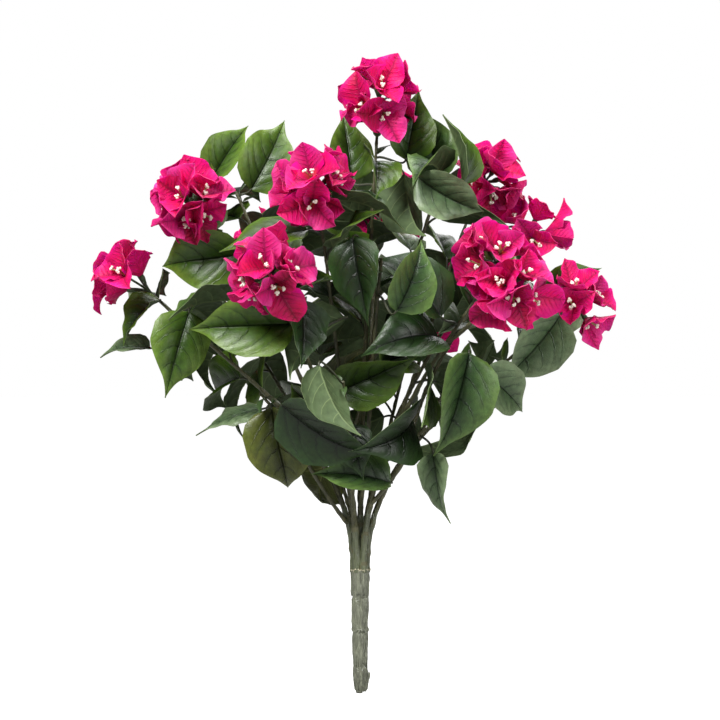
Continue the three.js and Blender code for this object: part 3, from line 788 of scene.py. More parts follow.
class Bush:
    """The whole bush as data: its limbs with their leaves and blossoms."""

    def __init__(self, sprays: Sequence[Spray]) -> None:
        """Grows the bush, with each leaf turned to a free side, or left out if no side is free.

        Args:
            sprays: the list of its limbs.
        """
        self.neighbours = Neighbours()
        self.limbs: dict[str, Limb] = {}
        for index, spray in enumerate(sprays):
            limb = Limb(spray, index, self.limbs)
            self.limbs[spray.name] = limb
            steps = math.ceil(limb.curve.length() / LIMB_STEP)
            radii = np.array([limb.radius_at(step / steps) for step in range(steps + 1)])
            self.neighbours.add(limb.curve.spots(steps), spray.name, radii + TWIG_CLEARANCE)
        for limb in self.limbs.values():
            self.open_blossoms(limb)
        for limb in self.limbs.values():
            for order, row in enumerate(limb.spray.shown):
                seed = SHOWN_SEED + SHOWN_SEED_STEP * limb.index + order
                moves = [(shift, turn) for shift in SHOWN_SHIFTS for turn in SHOWN_TURNS]
                moved = ((row[0], row[1] + shift, *row[2:6], row[6] + turn) for shift, turn in moves)
                self.settle(limb, (limb.shown_leaf(place, seed) for place in moved), free=True)
        for limb in self.limbs.values():
            for order in range(limb.spray.leaves):
                share = lerp(limb.first_leaf, LAST_LEAF, (order + 0.5) / limb.spray.leaves)
                seed = RULED_SEED * (limb.index + 1) + RULED_SEED_STEP * order
                tries = (limb.ruled_leaf(share, order + RETRY_TURN * k, seed + k) for k in range(TRIES))
                self.settle(limb, tries, free=False)
        for limb in self.limbs.values():
            self.fill_head(limb)

    def settle(self, limb: Limb, leaves: Iterable[Blade], free: bool) -> None:
        """Keeps the first leaf that meets nothing.

        Args:
            limb: the limb that carries it.
            leaves: the same leaf in other places or turned to other sides.
            free: whether it may leave the space of the crown.
        """
        for leaf in leaves:
            spots = leaf.leaf_spots()
            if (free or in_crown(spots)) and not self.neighbours.near(spots, [limb.spray.name]):
                limb.leaves.append(leaf)
                self.neighbours.add(spots, f"{limb.spray.name} leaf")
                return

    def open_blossoms(self, limb: Limb) -> None:
        """Opens a head of blossoms on a limb.

        One blossom of a large head looks straight out of the hub and the others stand round it, each turned
        so that its bracts pass between those of its neighbours, or left out where a limb is in its way.

        Args:
            limb: the limb.
        """
        spray = limb.spray
        dice = Dice(BLOSSOM_SEED + limb.index)
        hub, face, first = limb.head
        own = [spray.name, f"{spray.name} blossoms"]
        around = spray.blossoms - 1 if spray.blossoms > LARGEST_RING else spray.blossoms
        taken = np.empty((0, 3))
        for order in range(spray.blossoms):
            outer = order < around
            tilt = spray.spread * dice.between(*BLOSSOM_TILTS) if outer else 0
            turn = 2 * math.pi * (order + BLOSSOM_STRAY * dice.roll()) / around
            sideways = turned(first, face, turn)
            axis = face * math.cos(tilt) + sideways * math.sin(tilt)
            reach = dice.between(*BLOSSOM_REACHES) if outer else MIDDLE_REACH
            heart = hub + axis * reach * spray.pedicel
            start = across(sideways, axis)
            best_room, best_bracts, best_spots = -1.0, None, None
            for attempt in range(BLOSSOM_TRIES):
                spun = turned(start, axis, 2 * math.pi * attempt / (BRACTS * BLOSSOM_TRIES))
                bracts = make_bracts(heart, axis, spun, dice)
                spots = bract_spots(bracts)
                if self.neighbours.near(spots, own):
                    continue
                room = LEAF_CLEARANCE
                if len(taken):
                    room = min(room, float(np.linalg.norm(spots[:, None] - taken[None], axis=2).min()))
                if room > best_room:
                    best_room, best_bracts, best_spots = room, bracts, spots
            if best_bracts is None:
                continue
            taken = np.vstack([taken, best_spots])
            self.neighbours.add(best_spots, own[1])
            limb.blossoms.append(Blossom(hub, heart, axis, best_bracts))

    @staticmethod
    def fill_head(limb: Limb) -> None:
        """Fills a head with smaller blossoms on shorter stalks, in among those that its solid has.

        Args:
            limb: the limb that carries the head.
        """
        spray = limb.spray
        dice = Dice(BUD_SEED + limb.index)
        hub, face, first = limb.head
        taken = [bract_spots(blossom.bracts) for blossom in limb.blossoms]
        for _ in range(round(FILL_SHARE * len(limb.blossoms))):
            best_room, best = -1.0, None
            for _ in range(FILL_TRIES):
                tilt = spray.spread * dice.between(*FILL_TILTS)
                sideways = turned(first, face, 2 * math.pi * dice.roll())
                axis = face * math.cos(tilt) + sideways * math.sin(tilt)
                heart = hub + axis * dice.between(*FILL_REACH) * spray.pedicel
                start = turned(across(sideways, axis), axis, 2 * dice.roll())
                bracts = make_bracts(heart, axis, start, dice, FILL_SIZE)
                spots = bract_spots(bracts)
                gaps = np.linalg.norm(spots[:, None] - np.vstack(taken)[None], axis=2).min(axis=1)
                room = float(np.minimum(gaps, LEAF_CLEARANCE).mean())
                if room > best_room:
                    best_room, best = room, (Blossom(hub, heart, axis, bracts), spots)
            limb.buds.append(best[0])
            taken.append(best[1])


# What the pieces are made of.

TONE = "tone"
PLACE = "place"
THROUGH = 0.003
THROUGH_SHARES = (1, 0.3, 0.7)
PATCH_DETAIL = 4
HUE_DETAIL = 2
HUE_STRETCH = 0.6
GRAIN_DETAIL = 3
VEIN_DETAIL = 2
VEIN_WOBBLE = 220.0
VEIN_WANDER = 3.4
VEIN_DEPTH = 1.4
VEIN_EDGE = (0.1, 1)
VEIN_END = (0.1, 1.25)
RIB_EDGE = (0.02, 0.08)


# A node that mixes colours has several sockets of one name, so these go by number.

MIX_FACTOR = 0
MIX_FROM = 6
MIX_TO = 7
MIX_RESULT = 2


def linear(colour: Sequence[float]) -> tuple[float, float, float, float]:
    """A screen colour of three numbers up to 255, as the linear colour that a shader takes."""
    shares = [c / 255 for c in colour]
    return (*((s / 12.92 if s <= 0.04045 else ((s + 0.055) / 1.055) ** 2.4) for s in shares), 1.0)


def set_inputs(node: bpy.types.Node, values: dict[str, float | Sequence[float]]) -> None:
    """Sets inputs of a node by their names."""
    for name, value in values.items():
        node.inputs[name].default_value = value


def group_node(
    nodes: bpy.types.Nodes, tree: bpy.types.NodeTree, values: dict[str, float | Sequence[float]],
) -> bpy.types.Node:
    """Adds a group to a material's nodes, with these inputs set.

    Args:
        nodes: the material's nodes.
        tree: the group.
        values: what its inputs are set to, by their names.

    Returns:
        The new node.
    """
    node = nodes.new("ShaderNodeGroup")
    node.node_tree = tree
    set_inputs(node, values)
    return node


class Group:
    """A shader node group that several materials share, built once."""

    COLOURS = ("Colour", "Inner", "Outer")

    def __init__(self, name: str, inputs: Sequence[str], outputs: Sequence[str]) -> None:
        """Makes the group with its named sockets: numbers, except for those that are named as colours.

        Args:
            name: what the group is called.
            inputs: the names of its inputs.
            outputs: the names of its outputs.
        """
        self.tree = bpy.data.node_groups.new(name, "ShaderNodeTree")
        for direction, labels in (("INPUT", inputs), ("OUTPUT", outputs)):
            for label in labels:
                kind = "NodeSocketColor" if label in self.COLOURS else "NodeSocketFloat"
                self.tree.interface.new_socket(name=label, in_out=direction, socket_type=kind)
        self.start = self.tree.nodes.new("NodeGroupInput")
        self.end = self.tree.nodes.new("NodeGroupOutput")
        self.place = self.tree.nodes.new("ShaderNodeTexCoord").outputs["Object"]

    def noise(
        self, stretch: tuple[float, float, float], scale: str | float, detail: float
    ) -> bpy.types.NodeSocket:
        """A noise in the bush's own space.

        Args:
            stretch: how much finer the noise is along each axis.
            scale: its scale, or the group's input that gives it.
            detail: how many finer layers it has.

        Returns:
            Its value, around 0.5.
        """
        mapping = self.tree.nodes.new("ShaderNodeMapping")
        mapping.inputs["Scale"].default_value = stretch
        noise = self.tree.nodes.new("ShaderNodeTexNoise")
        noise.inputs["Detail"].default_value = detail
        self.join(self.place, mapping.inputs["Vector"])
        self.join(mapping.outputs["Vector"], noise.inputs["Vector"])
        if isinstance(scale, str):
            self.join(self.start.outputs[scale], noise.inputs["Scale"])
        else:
            noise.inputs["Scale"].default_value = scale
        return noise.outputs["Fac"]

    def spread(self, value: bpy.types.NodeSocket, amount: str, middle: float) -> bpy.types.NodeSocket:
        """A noise spread around a middle value, as far to each side as one of the group's inputs says."""
        away = self.reckon("SUBTRACT", value, 0.5)
        return self.reckon("MULTIPLY_ADD", away, self.start.outputs[amount], middle)

    def reckon(self, operation: str, *terms: bpy.types.NodeSocket | float) -> bpy.types.NodeSocket:
        """One step of arithmetic on sockets and plain numbers.

        Args:
            operation: the operation's name.
            terms: what it is done with.

        Returns:
            The socket with the result.
        """
        step = self.tree.nodes.new("ShaderNodeMath")
        step.operation = operation
        for slot, term in zip(step.inputs, terms):
            if isinstance(term, bpy.types.NodeSocket):
                self.join(term, slot)
            else:
                slot.default_value = term
        return step.outputs[0]

    def ramp(self, value: bpy.types.NodeSocket, full: float, none: float) -> bpy.types.NodeSocket:
        """A soft mask: 1 where a value is at the first limit, and 0 from the second on.

        Args:
            value: the socket with the value.
            full: the first limit.
            none: the second one.

        Returns:
            The socket with the mask.
        """
        ramp = self.tree.nodes.new("ShaderNodeMapRange")
        ramp.interpolation_type = "SMOOTHSTEP"
        set_inputs(ramp, {"From Min": full, "From Max": none, "To Min": 1, "To Max": 0})
        self.join(value, ramp.inputs["Value"])
        return ramp.outputs["Result"]

    def join(self, source: bpy.types.NodeSocket, target: bpy.types.NodeSocket) -> None:
        """Joins two sockets."""
        self.tree.links.new(source, target)


def mottle_group(name: str, stretch: tuple[float, float, float]) -> bpy.types.NodeTree:
    """Makes a colour lighter and darker, and a little warmer and cooler, in soft patches.

    Args:
        name: what the group is called.
        stretch: how much finer the patches are along each axis.

    Returns:
        The group, which gives a colour.
    """
    group = Group(name, ("Colour", "Scale", "Amount", "Hue"), ("Colour",))
    shade = group.tree.nodes.new("ShaderNodeHueSaturation")
    patches = group.noise(stretch, "Scale", PATCH_DETAIL)
    others = group.noise(tuple(HUE_STRETCH * k for k in stretch), "Scale", HUE_DETAIL)
    group.join(group.spread(patches, "Amount", 1), shade.inputs["Value"])
    group.join(group.spread(others, "Hue", 0.5), shade.inputs["Hue"])
    group.join(group.start.outputs["Colour"], shade.inputs["Color"])
    group.join(shade.outputs["Color"], group.end.inputs["Colour"])
    return group.tree


def grain_group(name: str, stretch: tuple[float, float, float]) -> bpy.types.NodeTree:
    """A relief of fine grain, and a roughness that goes with it.

    Args:
        name: what the group is called.
        stretch: how much finer the grain is along each axis.

    Returns:
        The group, which gives a height and a roughness.
    """
    group = Group(name, ("Scale", "Roughness", "Wear"), ("Height", "Roughness"))
    grain = group.noise(stretch, "Scale", GRAIN_DETAIL)
    roughness = group.reckon("ADD", group.spread(grain, "Wear", 0), group.start.outputs["Roughness"])
    group.join(grain, group.end.inputs["Height"])
    group.join(roughness, group.end.inputs["Roughness"])
    return group.tree


def shading_group() -> bpy.types.NodeTree:
    """A colour between two others, by the tone that a piece's mesh carries: built the first time.

    Returns:
        The group, which gives a colour.
    """
    known = bpy.data.node_groups.get("shading")
    if known:
        return known
    group = Group("shading", ("Inner", "Outer", "Low", "High"), ("Colour",))
    tone = group.tree.nodes.new("ShaderNodeAttribute")
    tone.attribute_name = TONE
    share = group.tree.nodes.new("ShaderNodeMapRange")
    share.clamp = False
    mix = group.tree.nodes.new("ShaderNodeMix")
    mix.data_type = "RGBA"
    mix.clamp_factor = False
    group.join(tone.outputs["Fac"], share.inputs["Value"])
    group.join(group.start.outputs["Low"], share.inputs["From Min"])
    group.join(group.start.outputs["High"], share.inputs["From Max"])
    group.join(share.outputs["Result"], mix.inputs[MIX_FACTOR])
    group.join(group.start.outputs["Inner"], mix.inputs[MIX_FROM])
    group.join(group.start.outputs["Outer"], mix.inputs[MIX_TO])
    group.join(mix.outputs[MIX_RESULT], group.end.inputs["Colour"])
    return group.tree


def vein_group() -> bpy.types.NodeTree:
    """Fine veins on a blade, by the place on it that its mesh carries: built the first time.

    Returns:
        The group, which gives the colour darkened along the veins, and a height with the veins pressed in.
    """
    known = bpy.data.node_groups.get("veins")
    if known:
        return known
    group = Group("veins", ("Colour", "Height", "Amount", "Width"), ("Colour", "Height"))
    place = group.tree.nodes.new("ShaderNodeAttribute")
    place.attribute_name = PLACE
    parts = group.tree.nodes.new("ShaderNodeSeparateXYZ")
    group.join(place.outputs["Vector"], parts.inputs["Vector"])
    wobble = group.reckon("SUBTRACT", group.noise((1, 1, 1), VEIN_WOBBLE, VEIN_DETAIL), 0.5)
    width = group.start.outputs["Width"]
    wander = group.reckon("MULTIPLY", wobble, width)
    along = group.reckon("MULTIPLY_ADD", wander, VEIN_WANDER, parts.outputs["X"])
    away = group.reckon("DIVIDE", group.reckon("PINGPONG", along, 0.5), width)
    line, end = group.ramp(away, *VEIN_EDGE), group.ramp(parts.outputs["Y"], *VEIN_END)
    rib = group.ramp(parts.outputs["Y"], *RIB_EDGE)
    total = group.reckon("MAXIMUM", group.reckon("MULTIPLY", line, end), rib)
    shade = group.tree.nodes.new("ShaderNodeHueSaturation")
    darkening = group.reckon("MULTIPLY", total, group.start.outputs["Amount"])
    group.join(group.reckon("SUBTRACT", 1, darkening), shade.inputs["Value"])
    group.join(group.start.outputs["Colour"], shade.inputs["Color"])
    pressed = group.reckon("MULTIPLY_ADD", total, -VEIN_DEPTH, group.start.outputs["Height"])
    group.join(shade.outputs["Color"], group.end.inputs["Colour"])
    group.join(pressed, group.end.inputs["Height"])
    return group.tree


class Grain(Enum):
    """The reliefs that a finish can have, each with how much finer it is along each axis."""

    CLOTH = (1, 1, 1)
    BARK = (1, 1, 0.16)

    def grain(self) -> bpy.types.NodeTree:
        """The group that makes the relief, built the first time it is asked for."""
        name = f"{self.name.lower()}_grain"
        return bpy.data.node_groups.get(name) or grain_group(name, self.value)

    def mottle(self) -> bpy.types.NodeTree:
        """The group that makes the colour uneven, built the first time it is asked for."""
        name = f"{self.name.lower()}_mottle"
        return bpy.data.node_groups.get(name) or mottle_group(name, self.value)


@dataclass(frozen=True)
class Finish:
    """One finish: its colour on screen, how rough it is, and how its patches and its grain look.

    Scales are in features a metre, and depth is the grain's relief in millimetres. A finish with an outer
    colour goes over to it as the mesh's tone goes from the first of its tones to the second. veins is how
    much darker its fine veins are, and vein_width their half width as a share of the way between two.
    """

    name: str
    colour: tuple[int, int, int]
    roughness: float = 0.45
    patch_scale: float = 90
    patch_amount: float = 0.5
    patch_hue: float = 0
    grain: Grain = Grain.CLOTH
    grain_scale: float = 1400
    depth: float = 0.12
    wear: float = 0.25
    sheen: float = 0
    specular: float = 0.5
    glow_through: float = 0
    outer: tuple[int, int, int] | None = None
    tones: tuple[float, float] = (0, 1)
    veins: float = 0
    vein_width: float = 0.2

    def material(self) -> bpy.types.Material:
        """The material of this finish, built the first time it is asked for.

        Returns:
            The material.
        """
        known = bpy.data.materials.get(self.name)
        if known:
            return known
        material = bpy.data.materials.new(self.name)
        material.use_nodes = True
        nodes, links = material.node_tree.nodes, material.node_tree.links
        shader = nodes["Principled BSDF"]
        set_inputs(shader, {
            "Sheen Weight": self.sheen, "Specular IOR Level": self.specular,
            "Subsurface Weight": self.glow_through, "Subsurface Scale": THROUGH,
            "Subsurface Radius": THROUGH_SHARES,
        })
        mottle = group_node(nodes, self.grain.mottle(), {
            "Colour": linear(self.colour), "Scale": self.patch_scale, "Amount": self.patch_amount,
            "Hue": self.patch_hue,
        })
        if self.outer:
            low, high = self.tones
            shading = group_node(nodes, shading_group(), {
                "Inner": linear(self.colour), "Outer": linear(self.outer), "Low": low, "High": high,
            })
            links.new(shading.outputs["Colour"], mottle.inputs["Colour"])
        grain = group_node(nodes, self.grain.grain(), {
            "Scale": self.grain_scale, "Roughness": self.roughness, "Wear": self.wear,
        })
        bump = nodes.new("ShaderNodeBump")
        bump.inputs["Distance"].default_value = self.depth * MM
        colour, height = mottle.outputs["Colour"], grain.outputs["Height"]
        if self.veins:
            veins = group_node(nodes, vein_group(), {"Amount": self.veins, "Width": self.vein_width})
            links.new(colour, veins.inputs["Colour"])
            links.new(height, veins.inputs["Height"])
            colour, height = veins.outputs["Colour"], veins.outputs["Height"]
        links.new(colour, shader.inputs["Base Color"])
        links.new(grain.outputs["Roughness"], shader.inputs["Roughness"])
        links.new(height, bump.inputs["Height"])
        links.new(bump.outputs["Normal"], shader.inputs["Normal"])
        return material


# Meshes, in millimetres until a piece is made.


@dataclass
class Shells:
    """Many small closed shells that end up as one piece."""

    points: list[np.ndarray] = field(default_factory=list)
    faces: list[np.ndarray] = field(default_factory=list)
    slots: list[np.ndarray] = field(default_factory=list)
    tones: list[np.ndarray] = field(default_factory=list)
    places: list[np.ndarray] = field(default_factory=list)
    count: int = 0

    def add(
        self, points: np.ndarray, faces: np.ndarray, slots: np.ndarray | int, tones: np.ndarray | float = 0.0,
        places: np.ndarray | float = 0.0,
    ) -> None:
        """Adds one shell.

        Args:
            points: its points, one row each.
            faces: its faces of four points each; a triangle repeats its last point.
            slots: the material slot of each face, or one for them all.
            tones: the tone of each point, or one for them all.
            places: where on its blade each point is: its number along the veins, and its share across.
        """
        self.points.append(points)
        self.tones.append(np.broadcast_to(tones, len(points)))
        self.places.append(np.broadcast_to(places, (len(points), 3)))
        self.faces.append(faces + self.count)
        self.slots.append(np.broadcast_to(slots, len(faces)))
        self.count += len(points)

    def plate(
        self, top: np.ndarray, under: np.ndarray, top_slots: np.ndarray, under_slots: np.ndarray,
        rim_slot: int, tones: np.ndarray | float = 0.0, places: np.ndarray | float = 0.0,
    ) -> None:
        """Adds a thin plate, closed round its edge.

        Args:
            top: the points of its upper side, in rows along it and columns across it.
            under: the points of its lower side, in the same rows and columns.
            top_slots: the slot of each face of the upper side.
            under_slots: the slot of each face of the lower side.
            rim_slot: the slot of the faces round the edge.
            tones: the tone of each point of the upper side, or one for them all.
            places: where on its blade each point of the upper side is.
        """
        rows, columns = top.shape[:2]
        number = np.arange(rows * columns).reshape(rows, columns)
        low = number + rows * columns
        quads = [number[:-1, :-1], number[:-1, 1:], number[1:, 1:], number[1:, :-1]]
        upper = np.stack(quads, axis=-1).reshape(-1, 4)
        lower = (upper + rows * columns)[:, [0, 3, 2, 1]]
        edge = np.concatenate([number[0], number[1:, -1], number[-1, -2::-1], number[-2:0:-1, 0]])
        after = np.roll(edge, -1)
        rim = np.stack([after, edge, edge + low[0, 0], after + low[0, 0]], axis=-1)
        self.add(
            np.vstack([top.reshape(-1, 3), under.reshape(-1, 3)]),
            np.vstack([upper, lower, rim]),
            np.concatenate([top_slots.ravel(), under_slots.ravel(), np.full(len(edge), rim_slot)]),
            np.tile(np.broadcast_to(tones, (rows, columns)).ravel(), 2),
            np.tile(np.broadcast_to(places, top.shape).reshape(-1, 3), (2, 1)),
        )

    def tube(self, spots: np.ndarray, radii: np.ndarray, sides: int, slot: int) -> None:
        """Adds a round tube along a line of spots, closed at both ends by a point.

        Args:
            spots: the middles of its rings, one row each.
            radii: the radius of each ring.
            sides: how many points a ring has.
            slot: the material slot of its faces.
        """
        ahead = np.gradient(spots, axis=0)
        ahead /= np.linalg.norm(ahead, axis=1)[:, None]
        first = beside(ahead[0], STEEP_FACE)
        rings = []
        for spot, direction, radius in zip(spots, ahead, radii):
            first = across(first, direction)
            second = np.cross(direction, first)
            angles = 2 * math.pi * np.arange(sides)[:, None] / sides
            rings.append(spot + radius * (np.cos(angles) * first + np.sin(angles) * second))
        ends = np.array([spots[0] - ahead[0] * radii[0] / 2, spots[-1] + ahead[-1] * radii[-1] / 2])
        self.add(np.vstack([*rings, ends]), round_faces(len(spots), sides), slot)

    def piece(self, name: str, finishes: Sequence[Finish], smooth: float) -> bpy.types.Object:
        """Makes the shells one object.

        Args:
            name: the piece's name.
            finishes: the finish of each material slot.
            smooth: edges that turn by less than this angle, in degrees, look smooth.

        Returns:
            The object, at the origin.
        """
        faces = [row[:3] if row[2] == row[3] else row for row in np.vstack(self.faces).tolist()]
        mesh = bpy.data.meshes.new(name)
        mesh.from_pydata(np.vstack(self.points) * MM, [], faces)
        mesh.polygons.foreach_set("material_index", np.concatenate(self.slots).astype(np.int32))
        tone = mesh.attributes.new(TONE, "FLOAT", "POINT")
        tone.data.foreach_set("value", np.concatenate(self.tones).astype(np.float32))
        place = mesh.attributes.new(PLACE, "FLOAT_VECTOR", "POINT")
        place.data.foreach_set("vector", np.vstack(self.places).astype(np.float32).ravel())
        for finish in finishes:
            mesh.materials.append(finish.material())
        mesh.validate()
        piece = bpy.data.objects.new(name, mesh)
        bpy.context.scene.collection.objects.link(piece)
        select(piece)
        smooth_edges(smooth)
        return piece


def round_faces(rings: int, sides: int) -> np.ndarray:
    """The faces of a round shell: walls between its rings, and a fan at each end to one of two points.

    Args:
        rings: how many rings of points the shell has.
        sides: how many points a ring has.

    Returns:
        The faces, four points each; a triangle repeats its last point.
    """
    number = np.arange(rings * sides).reshape(rings, sides)
    near, far = number[:-1], number[1:]
    walls = np.stack([near, np.roll(near, -1, axis=1), np.roll(far, -1, axis=1), far], axis=-1)
    low, high = (np.full(sides, rings * sides + k) for k in (0, 1))
    start = np.stack([np.roll(number[0], -1), number[0], low, low], axis=-1)
    stop = np.stack([number[-1], np.roll(number[-1], -1), high, high], axis=-1)
    return np.vstack([walls.reshape(-1, 4), start, stop])


def lanes(columns: Sequence[float], *middle: float) -> np.ndarray:
    """The columns of a blade from edge to edge, as shares of its half-width."""
    return np.array([*(-w for w in reversed(columns)), *middle, *columns])


def skins(
    points: np.ndarray, normals: np.ndarray, relief: np.ndarray, thickness: np.ndarray | float
) -> tuple[np.ndarray, ...]:
    """The upper and the lower side of a thin blade with a relief.

    Args:
        points: the points of the blade, one row each.
        normals: its normals there.
        relief: how far it stands out at each point, in rows and columns.
        thickness: how thick it is there.

    Returns:
        The points of both sides, in the same rows and columns.
    """
    return tuple(
        (points + normals * (relief + half).reshape(-1, 1)).reshape(*relief.shape, 3)
        for half in (thickness / 2, -thickness / 2)
    )


def smooth_edges(degrees: float) -> None:
    """Makes the active piece look smooth where its edges turn by less than an angle."""
    bpy.ops.object.shade_smooth_by_angle(angle=math.radians(degrees))


def select(*objects: bpy.types.Object) -> None:
    """Selects these objects and nothing else, the first of them as the active one.

    Args:
        objects: the objects.
    """
    bpy.ops.object.select_all(action="DESELECT")
    for piece in objects:
        piece.select_set(True)
    bpy.context.view_layer.objects.active = objects[0]


def dress(piece: bpy.types.Object, nodes: Sequence[str] = ()) -> bpy.types.Object:
    """Lets a piece ride on the bush, and hides the solids that it stands for.

    Args:
        piece: the piece.
        nodes: the solids that it stands for.

    Returns:
        The same piece.
    """
    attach(piece, "root")
    if nodes:
        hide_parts(*nodes)
    LOG.info("%s: %d faces, for %d solids", piece.name, len(piece.data.polygons), len(nodes))
    return piece


def rounded(outline: Sequence[tuple[float, float]], steps: int = 8) -> tuple[np.ndarray, np.ndarray]:
    """An outline's points with smooth curves through them.

    Args:
        outline: shares of the length, each with its share of the half-width.
        steps: how many points each part of the outline gets.

    Returns:
        The shares of the length, and those of the half-width.
    """
    rows = np.array([outline[0], *outline, outline[-1]], dtype=float)
    curve = []
    for before, a, b, after in zip(rows, rows[1:], rows[2:], rows[3:]):
        for k in range(steps):
            t = k / steps
            curve.append(
                0.5 * (2 * a + (b - before) * t + (2 * before - 5 * a + 4 * b - after) * t * t
                       + (3 * a - before - 3 * b + after) * t * t * t)
            )
    curve.append(rows[-1])
    return tuple(np.array(curve).T)


# The pieces.


@dataclass
class Stem:
    """The moulded stem: segments that narrow to a groove at each joint, with bark in relief.

    Lengths are in millimetres, but those of the flash and relief_size are in metres. squeeze and seam_share
    are shares.
    """

    sides: int = 56
    row: float = 2.4
    groove: float = 0.85
    groove_reach: float = 1.3
    swell: float = 0.45
    foot_round: float = 15
    lip: float = 1.1
    lip_reach: float = 0.6
    relief: float = 2.2
    relief_size: float = 0.0022
    squeeze: float = 0.2
    foot_edge: float = 0.15
    joint_rows: tuple[float, ...] = (-2, -1.2, -0.5, 0, 0.5, 1.2, 2)
    flash_depth: float = 0.0025
    flash_side: float = 0.003
    flash_half: float = 0.0012
    flash_heights: tuple[float, float] = (0.003, 0.018)
    seam_share: float = 0.7
    seam_height: float = 0.9
    smooth: float = 55
    bark: Finish = Finish(
        "stem_bark", (112, 115, 97), roughness=0.28, patch_scale=560, patch_amount=2.2, grain=Grain.BARK,
        grain_scale=620, depth=2.4, wear=0.4, specular=0.9,
    )
    seam: Finish = Finish(
        "stem_seam", (184, 178, 150), roughness=0.45, patch_scale=200, grain=Grain.BARK, depth=0.2,
    )

    def radius(self, height: float) -> float:
        """The stem's radius at a height: wider upwards, each segment wider at its top than at its bottom.

        Args:
            height: the height above the ground.

        Returns:
            The radius.
        """
        plain = lerp(STEM_FOOT_RADIUS, STEM_TOP_RADIUS, height / STEM_HEIGHT)
        ends = (0, *STEM_JOINTS, STEM_HEIGHT)
        for low, high in zip(ends, ends[1:]):
            if low <= height <= high:
                share = (height - low) / (high - low)
                plain += self.swell * math.sin(math.pi * share ** 1.5)
        for joint in STEM_JOINTS:
            plain -= self.groove * math.exp(-(((height - joint) / self.groove_reach) ** 2))
        if height < self.foot_round:
            rise = math.sqrt(1 - (1 - height / self.foot_round) ** 2)
            plain *= self.foot_edge + (1 - self.foot_edge) * rise
        return plain + self.lip * math.exp(-(((STEM_HEIGHT - height) / self.lip_reach) ** 2))

    def heights(self) -> list[float]:
        """The heights of the stem's rows of faces, closer at the joints, the foot and the top.

        Returns:
            The heights, from the lowest up.
        """
        rows = {k * self.row for k in range(1, int(STEM_HEIGHT / self.row))}
        for joint in (*STEM_JOINTS, 0, STEM_HEIGHT):
            rows |= {joint + step for step in self.joint_rows if 0 < joint + step < STEM_HEIGHT}
        return sorted(rows)

    def build(self) -> bpy.types.Object:
        """Turns a cylinder into the stem: rows cut across it, each sized, then bark pressed into it.

        Returns:
            The finished piece.
        """
        bpy.ops.object.select_all(action="DESELECT")
        bpy.ops.mesh.primitive_cylinder_add(
            vertices=self.sides, radius=STEM_FOOT_RADIUS * MM, depth=STEM_HEIGHT * MM,
            location=(0, 0, STEM_HEIGHT / 2 * MM),
        )
        stem = bpy.context.object
        stem.name = stem.data.name = "stem_bark"
        bpy.ops.object.transform_apply(location=True)
        bpy.ops.object.mode_set(mode="EDIT")
        for height in self.heights():
            bpy.ops.mesh.select_all(action="SELECT")
            bpy.ops.mesh.bisect(plane_co=(0, 0, height * MM), plane_no=(0, 0, 1))
        for height in (0, *self.heights(), STEM_HEIGHT):
            self.choose(stem, lambda spot: abs(spot.z - height * MM) < 1e-6)
            size = self.radius(height) / STEM_FOOT_RADIUS
            bpy.ops.transform.resize(value=(size, size, 1), center_override=(0, 0, height * MM))
        self.choose(stem, self.in_flash)
        bpy.ops.transform.translate(value=(self.flash_depth, 0, 0))
        bpy.ops.mesh.select_all(action="SELECT")
        bpy.ops.mesh.normals_make_consistent(inside=False)
        bpy.ops.object.mode_set(mode="OBJECT")
        self.press_bark(stem)
        for finish in (self.bark, self.seam):
            stem.data.materials.append(finish.material())
        for face in stem.data.polygons:
            spot = face.center
            side = math.hypot(spot.x, spot.y) > self.seam_share * STEM_TOP_RADIUS * MM
            face.material_index = int(side and spot.z > (STEM_HEIGHT - self.seam_height) * MM)
        select(stem)
        smooth_edges(self.smooth)
        return dress(stem, ["stem"])

    def in_flash(self, spot: Vector) -> bool:
        """Whether a point lies where the ridge of flash at the foot is pulled out."""
        low, high = self.flash_heights
        return spot.x > self.flash_side and abs(spot.y) < self.flash_half and low < spot.z < high

    @staticmethod
    def choose(stem: bpy.types.Object, wanted: Callable[[Vector], bool]) -> None:
        """Selects the points of the stem that are wanted, by their place.

        Args:
            stem: the stem, in edit mode.
            wanted: says of a place whether it is wanted.
        """
        mesh = bmesh.from_edit_mesh(stem.data)
        for vertex in mesh.verts:
            vertex.select = wanted(vertex.co)
        mesh.select_flush(True)
        bmesh.update_edit_mesh(stem.data)

    def press_bark(self, stem: bpy.types.Object) -> None:
        """Gives the stem upright ridges: squeezed in height, pressed with a relief, and drawn out again.

        Args:
            stem: the stem, selected.
        """
        finer = stem.modifiers.new("finer", "SUBSURF")
        finer.subdivision_type = "SIMPLE"
        finer.levels = finer.render_levels = 1
        select(stem)
        bpy.ops.object.modifier_apply(modifier="finer")
        self.squeeze_height(self.squeeze)
        press_relief(stem, self.relief * MM, self.relief_size)
        self.squeeze_height(1 / self.squeeze)
        for vertex in stem.data.vertices:
            vertex.co.z = max(vertex.co.z, 0)

    @staticmethod
    def squeeze_height(size: float) -> None:
        """Scales the selected object's mesh in height, about the ground.

        Args:
            size: how tall it is afterwards, as a share of its height.
        """
        bpy.ops.object.mode_set(mode="EDIT")
        bpy.ops.mesh.select_all(action="SELECT")
        bpy.ops.transform.resize(value=(1, 1, size), center_override=(0, 0, 0))
        bpy.ops.object.mode_set(mode="OBJECT")


